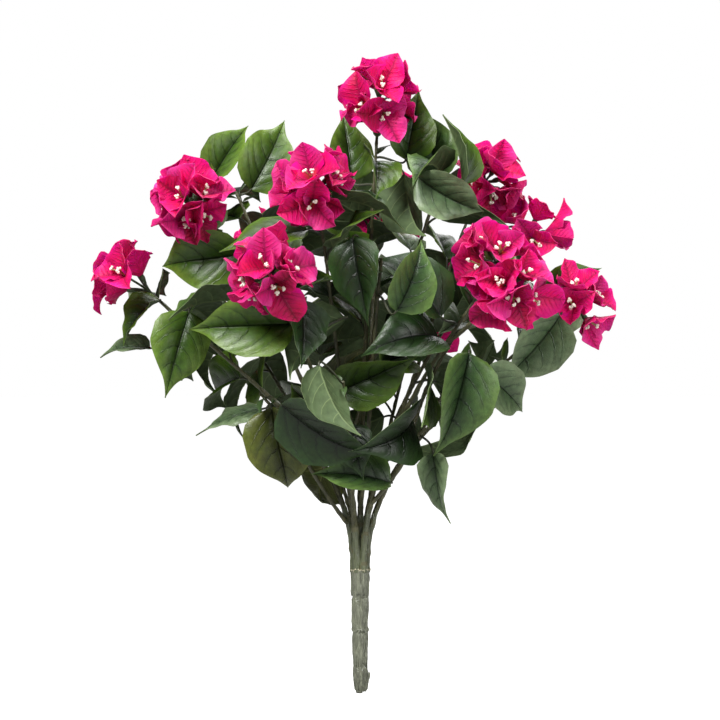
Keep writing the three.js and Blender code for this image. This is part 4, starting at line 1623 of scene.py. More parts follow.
def press_relief(piece: bpy.types.Object, depth: float, size: float) -> None:
    """Presses a cloudy relief into a piece.

    Args:
        piece: the piece, at the origin.
        depth: how deep the relief is, in metres.
        size: how large its lumps are, in metres.
    """
    texture = bpy.data.textures.new(f"{piece.name}_relief", "CLOUDS")
    texture.noise_scale = size
    texture.noise_depth = 2
    relief = piece.modifiers.new("relief", "DISPLACE")
    relief.texture = texture
    relief.texture_coords = "LOCAL"
    relief.strength = depth
    relief.mid_level = 0.5
    select(piece)
    bpy.ops.object.modifier_apply(modifier="relief")


@dataclass
class Boughs:
    """The bare part of each limb, or the twig that it ends in, with a swollen node where a leaf was.

    slot_nodes names the solids that a limb's part stands for, and share says which part of the limb it is.
    Lengths are in millimetres, but relief_size is in metres.
    """

    name: str
    sides: int
    slot_nodes: Callable[[Limb], list[str]]
    share: Callable[[Limb], tuple[float, float]]
    node_step: float
    node_swell: float = 0.22
    node_reach: float = 2.6
    foot_swell: float = 0.4
    foot_reach: float = 45
    foot_stray: float = 12
    stray_turns: float = 5
    sunk: float = 3
    step: float = 3.2
    fewest_steps: int = 8
    first_node: tuple[float, float] = (0.4, 0.3)
    node_half: float = 1.4
    relief: float = 1.1
    relief_size: float = 0.0035
    smooth: float = 70
    bark: Finish = Finish(
        "bough_bark", (76, 76, 50), roughness=0.38, patch_scale=360, patch_amount=1.6, grain=Grain.BARK,
        grain_scale=700, depth=1.2, wear=0.3,
    )
    node: Finish = Finish(
        "bough_node", (92, 90, 62), roughness=0.5, patch_scale=300, patch_amount=0.8, depth=0.3,
    )
    moulded: Finish = Finish(
        "bough_foot", (88, 94, 68), roughness=0.3, patch_scale=480, patch_amount=2.1, grain=Grain.BARK,
        grain_scale=620, depth=2.0, wear=0.4, specular=0.85,
    )

    def build(self, bush: Bush) -> bpy.types.Object:
        """Builds this part of every limb and joins them into one piece.

        Args:
            bush: the bush as data.

        Returns:
            The finished piece.
        """
        limbs = list(bush.limbs.values())
        parts = [self.run(limb) for limb in limbs]
        select(*parts)
        bpy.ops.object.join()
        piece = bpy.context.object
        piece.name = piece.data.name = self.name
        press_relief(piece, self.relief * MM, self.relief_size)
        smooth_edges(self.smooth)
        return dress(piece, [node for limb in limbs for node in self.slot_nodes(limb)])

    def run(self, limb: Limb) -> bpy.types.Object:
        """One limb's part: a curve cut into short steps, each point as thick as the limb is there.

        Args:
            limb: the limb.

        Returns:
            The part, with its finishes.
        """
        low, high = self.share(limb)
        curve = limb.curve
        span = float(np.linalg.norm(curve.at(high) - curve.at(low)))
        steps = max(self.fewest_steps, round(span / self.step))
        shares = np.linspace(low, high, steps + 1)
        spots = np.array([curve.at(share) for share in shares])
        way = np.concatenate([[0], np.cumsum(np.linalg.norm(np.diff(spots, axis=0), axis=1))])
        middle, stray = self.first_node
        nodes = np.arange(self.node_step * (middle + stray * math.sin(limb.phase)), way[-1], self.node_step)
        radii = np.array([limb.radius_at(share) for share in shares])
        for node in nodes:
            radii *= 1 + self.node_swell * np.exp(-(((way - node) / self.node_reach) ** 2))
        rooted = low == 0 and not isinstance(limb.spray.foot, tuple)
        if rooted:
            radii *= 1 + self.foot_swell * np.exp(-way / self.foot_reach)
            spots[0] -= self.sunk * UP
        bpy.ops.object.select_all(action="DESELECT")
        bpy.ops.curve.primitive_bezier_curve_add(location=(0, 0, 0), enter_editmode=True)
        bpy.ops.curve.subdivide(number_cuts=steps - 1)
        bpy.ops.object.mode_set(mode="OBJECT")
        line = bpy.context.object
        line.data.dimensions = "3D"
        line.data.resolution_u = 1
        line.data.bevel_depth = MM
        line.data.bevel_resolution = self.sides // 2 - 2
        line.data.use_fill_caps = True
        for point, spot, radius in zip(line.data.splines[0].bezier_points, spots, radii):
            point.handle_left_type = point.handle_right_type = "VECTOR"
            point.co = Vector(spot * MM)
            point.radius = radius
        bpy.ops.object.convert(target="MESH")
        part = bpy.context.object
        for finish in (self.bark, self.node, self.moulded):
            part.data.materials.append(finish.material())
        centres = np.array([face.center[:] for face in part.data.polygons]) / MM
        index = np.abs(centres[:, None] - spots[None]).sum(axis=2).argmin(axis=1)
        place = way[index]
        to_node = np.abs(place[:, None] - nodes[None]).min(axis=1, initial=math.inf)
        slots = np.where(to_node < self.node_half, 1, 0)
        if rooted:
            moulded = self.foot_reach + self.foot_stray * math.sin(self.stray_turns * limb.phase)
            slots[(slots == 0) & (place < moulded)] = 2
        part.data.polygons.foreach_set("material_index", slots.astype(np.int32))
        return part


def blended(low: Sequence[float], high: Sequence[float], share: float) -> tuple[int, ...]:
    """The colour that lies a share of the way from one to another."""
    return tuple(round(lerp(a, b, share)) for a, b in zip(low, high))


ZONES = 5
BRACT_ZONES = 3
BLACK = (0, 0, 0)
LEAF_RIB_SHADE = 0.66
# BRACT_RIB_SHADE darkens the zone by a bract's rib and base: the rib's own dark line, and painted shade deep in
# the blossom's cup.
BRACT_RIB_SHADE = 0.8
BY_RIB = 1e-3


def zoned(name: str, colours: Sequence[tuple[int, ...]], **looks: float) -> list[Finish]:
    """The finishes of a tint's zones, each of which goes over from its own colour to the next one.

    Args:
        name: what the tint's finishes are called, before the zone's number.
        colours: the zones' colours and the last zone's outer colour.
        looks: what the finishes have in common.

    Returns:
        The finishes, from the rib to the margin.
    """
    count = len(colours) - 1
    return [
        Finish(
            f"{name}_{zone}", colours[zone], outer=colours[zone + 1],
            tones=(zone / count, (zone + 1) / count), **looks,
        )
        for zone in range(count)
    ]


def zones_of(tones: np.ndarray, count: int) -> np.ndarray:
    """The zone of each face of a plate, of so many, by the mean tone of its four points."""
    mean = (tones[:-1, :-1] + tones[1:, :-1] + tones[:-1, 1:] + tones[1:, 1:]) / 4
    return np.clip((mean * count).astype(int), 0, count - 1)


class LeafTint(Enum):
    """The greens of the printed leaves, each from the rib to the margin; the dark one is painted shade."""

    FRESH = ((44, 68, 16), (94, 120, 42))
    DEEP = ((28, 48, 8), (76, 102, 28))
    BLUE = ((34, 56, 26), (86, 112, 54))
    OLIVE = ((46, 52, 16), (90, 98, 36))
    # DARK is a darker copy of the print for leaves that sit in the crown's shade: painted shade.
    DARK = ((14, 28, 8), (42, 66, 28))
    GREY = ((62, 82, 52), (116, 132, 98))

    @property
    def finishes(self) -> list[Finish]:
        """The finishes of the tint: zones that lead from the rib and the veins to the margin.

        Returns:
            The finishes, from the rib to the margin.
        """
        rib, margin = self.value
        shades = (blended(rib, margin, k / (ZONES - 1)) for k in range(ZONES))
        return zoned(
            f"leaf_{self.name.lower()}", (blended(BLACK, rib, LEAF_RIB_SHADE), *shades), roughness=0.35,
            patch_scale=220, patch_amount=1.2, patch_hue=0.04, grain_scale=1000, depth=0.24, wear=0.35,
            specular=0.36, veins=0.42, vein_width=0.07,
        )


# Each spray's tints, dealt to its leaves in turn; the dark tint, painted shade, goes to leaves that sit in the
# crown's shade.
SPRAY_TINTS = {
    "top": "fresh blue deep", "left": "fresh deep grey", "front_left": "fresh dark grey deep",
    "front_right": "dark dark deep", "right": "grey deep blue", "back_right": "grey deep",
    "back_left": "fresh deep dark", "upper_left": "fresh deep blue", "high_left": "fresh fresh dark",
    "front_top": "deep dark deep", "right_low": "deep blue deep", "upper_right": "deep grey",
    "high_right": "blue deep grey grey grey dark", "right_high": "grey deep", "back_top": "deep blue",
    "back_low": "grey olive", "far_back_left": "deep dark", "low_left": "grey olive dark",
    "low_right": "blue grey", "low_front": "deep dark blue", "middle_front": "dark blue deep",
    "low_back": "olive dark",
}


@dataclass
class Leaves:
    """The printed cloth leaves: darker round the rib, paler to the margin, with side veins pressed in.

    Lengths are in millimetres, on a leaf of the usual length. Places along and across a leaf are shares, and
    a pair of numbers is the least and the most that the dice can give.
    """

    veins: tuple[float, ...] = (0.05, 0.22, 0.43, 0.64)
    columns: tuple[float, ...] = (0.2, 0.42, 0.64, 0.84, 1)
    slant: float = 0.5
    arch: float = 1.5
    fan: float = 0.02
    vein_half: float = 0.45
    vein_halo: float = 2.4
    vein_reach: float = 0.8
    vein_fade: float = 0.7
    rib_half: float = 0.75
    pillow: float = 1.4
    bulge: float = 0.5
    crease: float = 0.4
    rib_depth: float = 0.6
    thickness: float = 0.5
    frill: float = 0.8
    least_half: float = 0.02
    cups: tuple[float, float] = (-4.5, 4.5)
    tips: tuple[float, float] = (-11, 7)
    sways: tuple[float, float] = (-5.5, 5.5)
    tip_start: float = 0.55
    drip: float = 0.06
    drip_start: float = 0.84
    veins_end: float = 0.84
    usual_length: float = 75
    rib_most: float = 0.16
    rib_taper: float = 0.7
    waves: tuple[float, float, float] = (3.3, 5, 1.3)
    edge_thinning: float = 0.4
    tip_light: tuple[float, float] = (0.6, 0.8)
    rib_light: float = 0.2
    vein_shade: float = 0.45
    on_rib_shade: float = 0.1
    in_vein: float = 0.8
    numbers: tuple[float, ...] = (0.5, 1, 2, 3, 4, 5, 5.5)
    smooth: float = 50
    under: Finish = Finish(
        "leaf_under", (74, 90, 58), roughness=0.6, patch_scale=200, patch_amount=1, patch_hue=0.03,
        specular=0.2,
    )
    under_vein: Finish = Finish(
        "leaf_under_vein", (96, 112, 72), roughness=0.6, patch_amount=0.4, specular=0.25,
    )
    olive_under: Finish = Finish(
        "leaf_under_olive", (82, 88, 46), roughness=0.6, patch_amount=0.7, specular=0.25,
    )
    olive_vein: Finish = Finish(
        "leaf_under_olive_vein", (112, 114, 68), roughness=0.6, patch_amount=0.4, specular=0.25,
    )
    edge: Finish = Finish("leaf_edge", (112, 128, 84), roughness=0.6, patch_amount=0.4)

    def build(self, bush: Bush) -> bpy.types.Object:
        """Builds every leaf of the bush as one piece.

        Args:
            bush: the bush as data.

        Returns:
            The finished piece.
        """
        shells = Shells()
        tints = list(LeafTint)
        outline = rounded(LEAF_OUTLINE)
        for limb in bush.limbs.values():
            dealt = [LeafTint[name] for name in SPRAY_TINTS[limb.spray.name].upper().split()]
            for order, leaf in enumerate(limb.leaves):
                tint = dealt[order % len(dealt)]
                self.leaf(shells, leaf, outline, tints.index(tint), tint is LeafTint.OLIVE)
        finishes = [finish for tint in tints for finish in tint.finishes]
        finishes += [self.under, self.under_vein, self.olive_under, self.olive_vein, self.edge]
        piece = shells.piece("leaves", finishes, self.smooth)
        return dress(piece, [f"spray_{name}" for name in bush.limbs])

    def rows(self, length: float) -> tuple[np.ndarray, np.ndarray, np.ndarray]:
        """The rows across a leaf.

        Args:
            length: the leaf's length.

        Returns:
            Each row's share of the length at the rib, how much of a vein it is, and how much of the bulge
            between two veins it has.
        """
        half, halo = self.vein_half / length, self.vein_halo / length
        shares, bulges = [0, 0.002, 0.006, 0.013], [0.0] * 4
        for vein, after in zip(self.veins, (*self.veins[1:], self.veins_end)):
            shares += [vein - half, vein + half, vein + halo, (vein + after) / 2, after - halo]
            bulges += [0, 0, 0.5, 1, 0.5]
        shares += [self.veins_end, 0.89, 0.935, 0.97, 0.99, 1]
        bulges += [0.2, 0.1, 0, 0, 0, 0]
        shares = np.array(shares)
        away = np.abs(shares[:, None] - np.array(self.veins)).min(axis=1)
        return shares, np.exp(-((away / halo) ** 2) * 1.4), np.array(bulges)

    def leaf(
        self, shells: Shells, leaf: Blade, outline: tuple[np.ndarray, np.ndarray], tint: int, olive: bool
    ) -> None:
        """Adds one leaf.

        Args:
            shells: what it is added to.
            leaf: its place and shape.
            outline: the smooth outline.
            tint: the number of its tint.
            olive: whether its underside is olive.
        """
        shares, veins, bulges = self.rows(leaf.length)
        sides = lanes(self.columns, -BY_RIB, 0, BY_RIB)
        s, v = np.meshgrid(shares, sides, indexing="ij")
        w = np.abs(v)
        u = s + self.slant * w ** self.arch * (1 - s) * (1 - np.exp(-s / self.fan))
        half = np.maximum(np.interp(u, *outline), self.least_half)
        rib = self.rib_half * (1 - self.rib_taper * u) / (leaf.width / 2 * half)
        rib = np.minimum(self.rib_most, rib)
        v = np.where(w == BY_RIB, np.sign(v) * rib, v)
        w = np.abs(v)
        drawn = u + self.drip * (np.maximum(0, u - self.drip_start) / (1 - self.drip_start)) ** 1.5
        points, normals = leaf.points(drawn.ravel(), v.ravel(), half.ravel())
        dice = Dice(round(1e6 * leaf.phase))
        size = leaf.length / self.usual_length
        cup, tip, sway = (dice.between(*ends) * size for ends in (self.cups, self.tips, self.sways))
        count, turns, shift = self.waves
        wave = ripples(u, v, count, turns * leaf.phase, shift)
        humps = np.sin(math.pi * np.minimum(1, w * 1.02))
        relief = size * (self.pillow * half + self.bulge * bulges[:, None]) * humps
        vein = veins[:, None] * np.clip(1 - w / self.vein_reach, 0, 1) ** self.vein_fade
        relief = relief - self.crease * vein - self.rib_depth * (w == 0)
        relief += self.frill * leaf.ripple * wave * w ** 4 * half + cup * w ** 2.4 * half
        relief += tip * (np.maximum(0, u - self.tip_start) / (1 - self.tip_start)) ** 2
        points = points + leaf.side * (sway * u ** 2).reshape(-1, 1)
        top, low = skins(points, normals, relief, self.thickness * (1 - self.edge_thinning * w))
        tones = self.tones(u, w, vein)
        slots = zones_of(tones, ZONES) + ZONES * tint
        in_vein = (veins[:-1] > self.in_vein) & (veins[1:] > self.in_vein)
        across_rib = np.abs(sides[:-1] + sides[1:]) < 0.01
        reached = np.maximum(w[:-1, :-1], w[:-1, 1:]) < self.vein_reach
        under = ZONES * len(LeafTint) + 2 * olive + (across_rib | (in_vein[:, None] & reached))
        numbers = np.interp(s, (0, *self.veins, self.veins_end, 1), self.numbers)
        places = np.stack([numbers, w, 0 * w], axis=-1)
        shells.plate(top, low, slots, under, ZONES * len(LeafTint) + 4, tones, places)

    def tones(self, u: np.ndarray, w: np.ndarray, vein: np.ndarray) -> np.ndarray:
        """How light a leaf's print is: dark on the rib and the veins, and lighter to the margin and the tip.

        Args:
            u: shares of the length.
            w: shares of the half-width.
            vein: how much of a vein each point is.

        Returns:
            A tone from 0 to 1 for each point.
        """
        start, gain = self.tip_light
        light = 1 - (1 - w ** 1.1) * (1 - gain * np.clip((u - start) / (1 - start), 0, 1) ** 2)
        even = self.rib_light + (1 - self.rib_light) * light
        on_rib = self.on_rib_shade + (1 - self.on_rib_shade) * (w > 0)
        return even * (1 - self.vein_shade * vein) * on_rib


class BractTint(Enum):
    """The pinks of the bracts, each from the base to the margin. The darker base is painted shade deep in the
    blossom's cup; the lighter margin is partly the bract's own paler edge and partly painted sheen.
    """

    MAGENTA = ((200, 0, 82), (230, 10, 112))
    HOT = ((214, 0, 90), (240, 18, 120))
    ROSE = ((208, 8, 98), (232, 58, 140))
    CRIMSON = ((156, 0, 60), (194, 4, 88))
    MAUVE = ((188, 10, 94), (218, 54, 132))

    @property
    def finishes(self) -> list[Finish]:
        """The finishes of the tint: zones that lead from the rib and the base to the margin, the darkest partly
        painted shade.

        Returns:
            The finishes, from the base to the margin.
        """
        base, margin = self.value
        colours = (blended(BLACK, base, BRACT_RIB_SHADE), base, blended(base, margin, 0.5), margin)
        return zoned(
            f"bract_{self.name.lower()}", colours, roughness=0.5, sheen=0.03, patch_scale=130,
            patch_amount=0.7, patch_hue=0.03, grain_scale=700, depth=0.3, specular=0.2, glow_through=0.3,
            veins=0.24,
        )


@dataclass
class Bracts:
    """The papery bracts, three to a blossom, creased along the rib and crinkled across it.

    Lengths are in millimetres, and a pair of numbers is the least and the most that the dice can give.
    """

    outline: tuple[tuple[float, float], ...] = (
        (0, 0), (0.05, 0.36), (0.16, 0.74), (0.32, 0.97), (0.48, 1.04), (0.66, 0.93), (0.82, 0.63),
        (0.93, 0.26), (1, 0),
    )
    rows: int = 11
    columns: tuple[float, ...] = (0.3, 0.58, 0.84, 1)
    slant: float = 0.42
    fan: float = 0.06
    rib_half: float = 0.3
    rib_most: float = 0.2
    crease_half: float = 0.21
    waves: tuple[float, float, float] = (2.6, 3, 1.9)
    tip_start: float = 0.4
    smooth: float = 60
    thickness: float = 0.35
    crinkle: float = 0.42
    crease: float = 0.45
    frill: float = 1.9
    least_half: float = 0.03
    cups: tuple[float, float] = (-1, 8)
    tips: tuple[float, float] = (-7, 7)
    sways: tuple[float, float] = (-3.5, 3.5)
    sizes: tuple[float, float] = (0.86, 1.08)
    tinged: float = 0.2
    # How much darker the tone is in the valleys of the crinkles: painted shade in the creases, along with the
    # veins' darker colour.
    printed: float = 0.25
    vein_count: int = 8
    back: Finish = Finish(
        "bract_back", (200, 8, 92), roughness=0.6, sheen=0.03, patch_scale=130, patch_amount=0.7,
        patch_hue=0.03, grain_scale=700, depth=0.3, specular=0.16, glow_through=0.3, veins=0.16,
    )
    edge: Finish = Finish("bract_edge", (222, 60, 126), roughness=0.6, patch_amount=0.4)
    tinge: Finish = Finish(
        "bract_tinge", (196, 84, 48), roughness=0.6, patch_amount=0.8, patch_hue=0.04, specular=0.16,
        outer=(204, 4, 92), tones=(0.1, 0.6),
    )

    def build(self, bush: Bush) -> bpy.types.Object:
        """Builds the bracts of every blossom as one piece.

        Args:
            bush: the bush as data.

        Returns:
            The finished piece.
        """
        shells = Shells()
        outline = rounded(self.outline)
        for limb in bush.limbs.values():
            dice = Dice(BRACT_SEED + limb.index)
            for blossom in limb.blossoms + limb.buds:
                for bract in blossom.bracts:
                    tint = int(len(BractTint) * dice.roll())
                    self.bract(shells, bract, outline, tint, dice)
        finishes = [finish for tint in BractTint for finish in tint.finishes]
        finishes += [self.back, self.edge, self.tinge]
        return dress(shells.piece("bracts", finishes, self.smooth))

    def bract(
        self, shells: Shells, bract: Blade, outline: tuple[np.ndarray, np.ndarray], tint: int, dice: Dice
    ) -> None:
        """Adds one bract.

        Args:
            shells: what it is added to.
            bract: its place and shape.
            outline: the smooth outline.
            tint: the number of its tint.
            dice: deals out its size, its cup, its tip, its sway and whether its base is tinged.
        """
        shares = np.linspace(0, 1, self.rows + 1) ** 1.1
        sides = lanes(self.columns, -BY_RIB, BY_RIB)
        s, v = np.meshgrid(shares, sides, indexing="ij")
        w = np.abs(v)
        u = s + self.slant * w * (1 - s) * (1 - np.exp(-s / self.fan))
        half = np.maximum(np.interp(u, *outline), self.least_half)
        rib = np.minimum(self.rib_most, self.rib_half / (bract.width / 2 * half))
        v = np.where(w == BY_RIB, np.sign(v) * rib, v)
        w = np.abs(v)
        size = dice.between(*self.sizes)
        points, normals = bract.points(size * u.ravel(), v.ravel(), size * half.ravel())
        cup, tip, sway = (dice.between(*ends) for ends in (self.cups, self.tips, self.sways))
        count, turns, shift = self.waves
        wave = ripples(u, v, count, turns * bract.phase, shift)
        relief = self.crinkle * np.cos(math.pi * np.arange(self.rows + 1))[:, None] * np.sin(math.pi * w)
        relief = relief - self.crease * (w < self.crease_half)
        relief = relief + self.frill * bract.ripple * wave * w ** 3 * half
        curled = tip * np.maximum(0, u - self.tip_start) ** 2 / (1 - self.tip_start) ** 2
        relief += cup * w ** 2 * half + curled
        points = points + bract.side * (sway * u ** 2).reshape(-1, 1)
        top, low = skins(points, normals, relief, self.thickness)
        # Every other row lies in a valley of the crinkles, and the tone is darker there: painted shade in the
        # creases, along with the veins' darker colour.
        creased = (np.arange(self.rows + 1) % 2)[:, None] * (1 - w) ** 0.7
        # The tone is darker towards the rib and the base, deep in the blossom's cup: painted shade there,
        # besides the rib's own dark line. It is lighter to the margin: the bract's paler edge and partly a
        # painted sheen.
        light = np.clip(0.3 + 0.7 * w, 0, 1) * np.clip(0.4 + 2 * u, 0, 1) * (1 - self.printed * creased)
        tones = np.where(np.abs(sides) == BY_RIB, 0.1, light)
        slots = zones_of(tones, BRACT_ZONES) + BRACT_ZONES * tint
        back = BRACT_ZONES * len(BractTint)
        if dice.roll() < self.tinged:
            slots[:2] = back + 2
        places = np.stack([self.vein_count * s, w, 0 * w], axis=-1)
        shells.plate(top, low, slots, np.full_like(slots, back), back + 1, tones, places)


@dataclass
class Florets:
    """The small white flowers inside the bracts, each a slim tube with a crumbly double head.

    Lengths are in millimetres, and a pair of numbers is the least and the most that the dice can give.
    """

    lean: float = 0.3
    lengths: tuple[float, float] = (10, 15)
    tube_radii: tuple[float, ...] = (0.8, 0.7, 0.8, 1.0)
    head: float = 1.3
    lumps: float = 0.35
    lump_reach: float = 1.3
    lump_rings: int = 4
    lump_sides: int = 7
    lump_height: float = 0.8
    crumbs: int = 3
    fewest: int = 2
    more: int = 2
    strays: tuple[float, float] = (-0.5, 0.5)
    leans: tuple[float, float] = (0.5, 1.4)
    bow: float = 0.4
    neck: float = 3
    crumb_strays: tuple[float, float] = (-0.6, 0.6)
    crumb_reaches: tuple[float, float] = (0.5, 1.1)
    crumb_lifts: tuple[float, float] = (-0.6, 1.2)
    sides: int = 5
    smooth: float = 80
    tube: Finish = Finish("floret_tube", (160, 158, 104), roughness=0.5, patch_amount=0.7)
    petal: Finish = Finish(
        "floret_petal", (244, 238, 224), roughness=0.6, patch_scale=500, patch_amount=0.3,
    )

    def build(self, bush: Bush) -> bpy.types.Object:
        """Builds the florets of every blossom as one piece.

        Args:
            bush: the bush as data.

        Returns:
            The finished piece.
        """
        shells = Shells()
        for limb in bush.limbs.values():
            dice = Dice(FLORET_SEED + limb.index)
            for blossom in limb.blossoms + limb.buds:
                count = self.fewest + int(self.more * dice.roll())
                for k in range(count):
                    turn = 2 * math.pi * k / count + dice.between(*self.strays)
                    self.floret(shells, blossom, turn, dice)
        return dress(shells.piece("florets", [self.tube, self.petal], self.smooth))

    def floret(self, shells: Shells, blossom: Blossom, turn: float, dice: Dice) -> None:
        """Adds one floret, which leans out of its blossom's axis at a turn round it.

        Args:
            shells: what it is added to.
            blossom: its blossom.
            turn: the turn, in radians.
            dice: deals out its lean, its length and its crumbs.
        """
        outward = turned(across(blossom.bracts[0].side, blossom.axis), blossom.axis, turn)
        lean = self.lean * dice.between(*self.leans)
        direction = blossom.axis * math.cos(lean) + outward * math.sin(lean)
        length = dice.between(*self.lengths)
        tip = blossom.heart + direction * length
        middle = blossom.heart + blossom.axis * length / 2 + outward * self.bow
        curve = Bezier(blossom.heart, middle, tip - direction * self.neck, tip)
        shells.tube(curve.spots(len(self.tube_radii) - 1), np.array(self.tube_radii), self.sides, 0)
        aside = across(outward, direction)
        for k in range(self.crumbs):
            spin = 2 * math.pi * k / self.crumbs + dice.between(*self.crumb_strays)
            reach = self.lump_reach * dice.between(*self.crumb_reaches)
            stray = reach * turned(aside, direction, spin) + direction * dice.between(*self.crumb_lifts)
            self.lump(shells, tip + stray, dice)

    def lump(self, shells: Shells, middle: np.ndarray, dice: Dice) -> None:
        """Adds one crumb of a floret's head: a small ball with an uneven skin.

        Args:
            shells: what it is added to.
            middle: its middle.
            dice: deals out how uneven it is.
        """
        rings, sides = self.lump_rings, self.lump_sides
        high = np.repeat(np.linspace(-self.lump_height, self.lump_height, rings), sides)
        angles = np.tile(2 * math.pi * np.arange(sides) / sides, rings) + high
        flat = np.sqrt(1 - high ** 2)
        ball = np.stack([flat * np.cos(angles), flat * np.sin(angles), high], axis=-1)
        ball = np.vstack([ball, [(0, 0, -1), (0, 0, 1)]])
        sizes = self.head * np.array([1 + self.lumps * dice.between(-1, 1) for _ in ball])
        shells.add(middle + ball * sizes[:, None], round_faces(rings, sides), 1)


@dataclass
class Stalks:
    """The thin stalks of the leaves, and those of the blossoms with the green funnel under their bracts."""

    leaf_radii: tuple[float, float] = (1.15, 0.9)
    flower_radii: tuple[float, float] = (1.15, 0.9)
    funnel_radii: tuple[float, ...] = (0.9, 1.3, 2, 2.5, 2.4)
    funnel_length: float = 7
    funnel_sides: int = 7
    steps: int = 9
    sides: int = 6
    arch: float = 0.35
    leaf_bends: tuple[float, float] = (0.4, 0.35)
    into_leaf: float = 1.5
    flower_bends: tuple[float, float] = (0.35, 0.4)
    smooth: float = 60
    leaf_stalk: Finish = Finish("leaf_stalk", (52, 56, 36), roughness=0.42, patch_amount=0.9, depth=0.2)
    flower_stalk: Finish = Finish("flower_stalk", (50, 58, 38), roughness=0.42, patch_amount=0.9, depth=0.2)
    funnel: Finish = Finish("flower_cup", (58, 74, 44), roughness=0.5, patch_amount=0.8)

    def build(self, bush: Bush) -> bpy.types.Object:
        """Builds the stalks of all leaves and blossoms as one piece.

        Args:
            bush: the bush as data.

        Returns:
            The finished piece.
        """
        shells = Shells()
        thin = np.linspace(*self.leaf_radii, self.steps + 1)
        slim = np.linspace(*self.flower_radii, self.steps + 1)
        for limb in bush.limbs.values():
            for leaf in limb.leaves:
                run = float(np.linalg.norm(leaf.base - leaf.foot))
                leaving = unit(unit(leaf.base - leaf.foot) + self.arch * UP)
                out, back = self.leaf_bends
                bends = (leaf.foot + leaving * out * run, leaf.base - leaf.axis * back * run)
                curve = Bezier(leaf.foot, *bends, leaf.base + leaf.axis * self.into_leaf)
                shells.tube(curve.spots(self.steps), thin, self.sides, 0)
            heading = limb.curve.tangent(1)
            for blossom in limb.blossoms + limb.buds:
                run = float(np.linalg.norm(blossom.heart - blossom.hub))
                out, back = self.flower_bends
                bends = (blossom.hub + heading * out * run, blossom.heart - blossom.axis * back * run)
                curve = Bezier(blossom.hub, *bends, blossom.heart)
                shells.tube(curve.spots(self.steps), slim, self.sides, 1)
                below, above = blossom.heart - blossom.axis * self.funnel_length, blossom.heart + blossom.axis
                count = len(self.funnel_radii) - 1
                spots = np.array([lerp(below, above, k / count) for k in range(count + 1)])
                shells.tube(spots, np.array(self.funnel_radii), self.funnel_sides, 2)
        finishes = [self.leaf_stalk, self.flower_stalk, self.funnel]
        return dress(shells.piece("stalks", finishes, self.smooth))


@dataclass
class Leaflets:
    """The small young leaves round the hubs, under the blossoms."""

    count: int = 2
    lengths: tuple[float, float] = (12, 22)
    ratio: float = 0.42
    shares: tuple[float, float] = (0.86, 0.99)
    forward: tuple[float, float] = (0.1, 0.9)
    foot_gap: float = 2
    thickness: float = 0.4
    rows: int = 9
    columns: tuple[float, ...] = (0.08, 0.55, 1)
    least_half: float = 0.06
    smooth: float = 50
    top: Finish = Finish("leaflet", (60, 84, 42), roughness=0.42, patch_hue=0.03)
    under: Finish = Finish("leaflet_under", (90, 106, 76), roughness=0.6)
    rib: Finish = Finish("leaflet_rib", (36, 56, 30), roughness=0.42)

    def build(self, bush: Bush) -> bpy.types.Object:
        """Builds the leaflets of every limb as one piece.

        Args:
            bush: the bush as data.

        Returns:
            The finished piece.
        """
        shells = Shells()
        outline = rounded(LEAF_OUTLINE)
        for limb in bush.limbs.values():
            dice = Dice(LEAFLET_SEED + limb.index)
            for k in range(self.count):
                share = dice.between(*self.shares)
                along = limb.curve.tangent(share)
                sideways = turned(beside(along), along, limb.phase + k * GOLDEN_ANGLE)
                axis = unit(sideways + dice.between(*self.forward) * along)
                length = dice.between(*self.lengths)
                blade = Blade(
                    base=limb.curve.at(share) + axis * self.foot_gap, axis=axis, face=across(along, axis),
                    length=length, width=length * self.ratio, outline=LEAF_OUTLINE,
                    **LEAFLET_CURL.deal(dice),
                )
                self.leaflet(shells, blade, outline)
        finishes = [self.top, self.under, self.rib]
        return dress(shells.piece("leaflets", finishes, self.smooth))

    def leaflet(self, shells: Shells, blade: Blade, outline: tuple[np.ndarray, np.ndarray]) -> None:
        """Adds one leaflet.

        Args:
            shells: what it is added to.
            blade: its place and shape.
            outline: the smooth outline.
        """
        u, v = np.meshgrid(np.linspace(0, 1, self.rows), lanes(self.columns), indexing="ij")
        half = np.maximum(np.interp(u, *outline), self.least_half)
        points, normals = blade.points(u.ravel(), v.ravel(), half.ravel())
        top, low = skins(points, normals, 0 * u, self.thickness)
        slots = np.repeat(np.array([[0, 0, 2, 0, 0]]), self.rows - 1, axis=0)
        shells.plate(top, low, slots, np.ones_like(slots), 0)


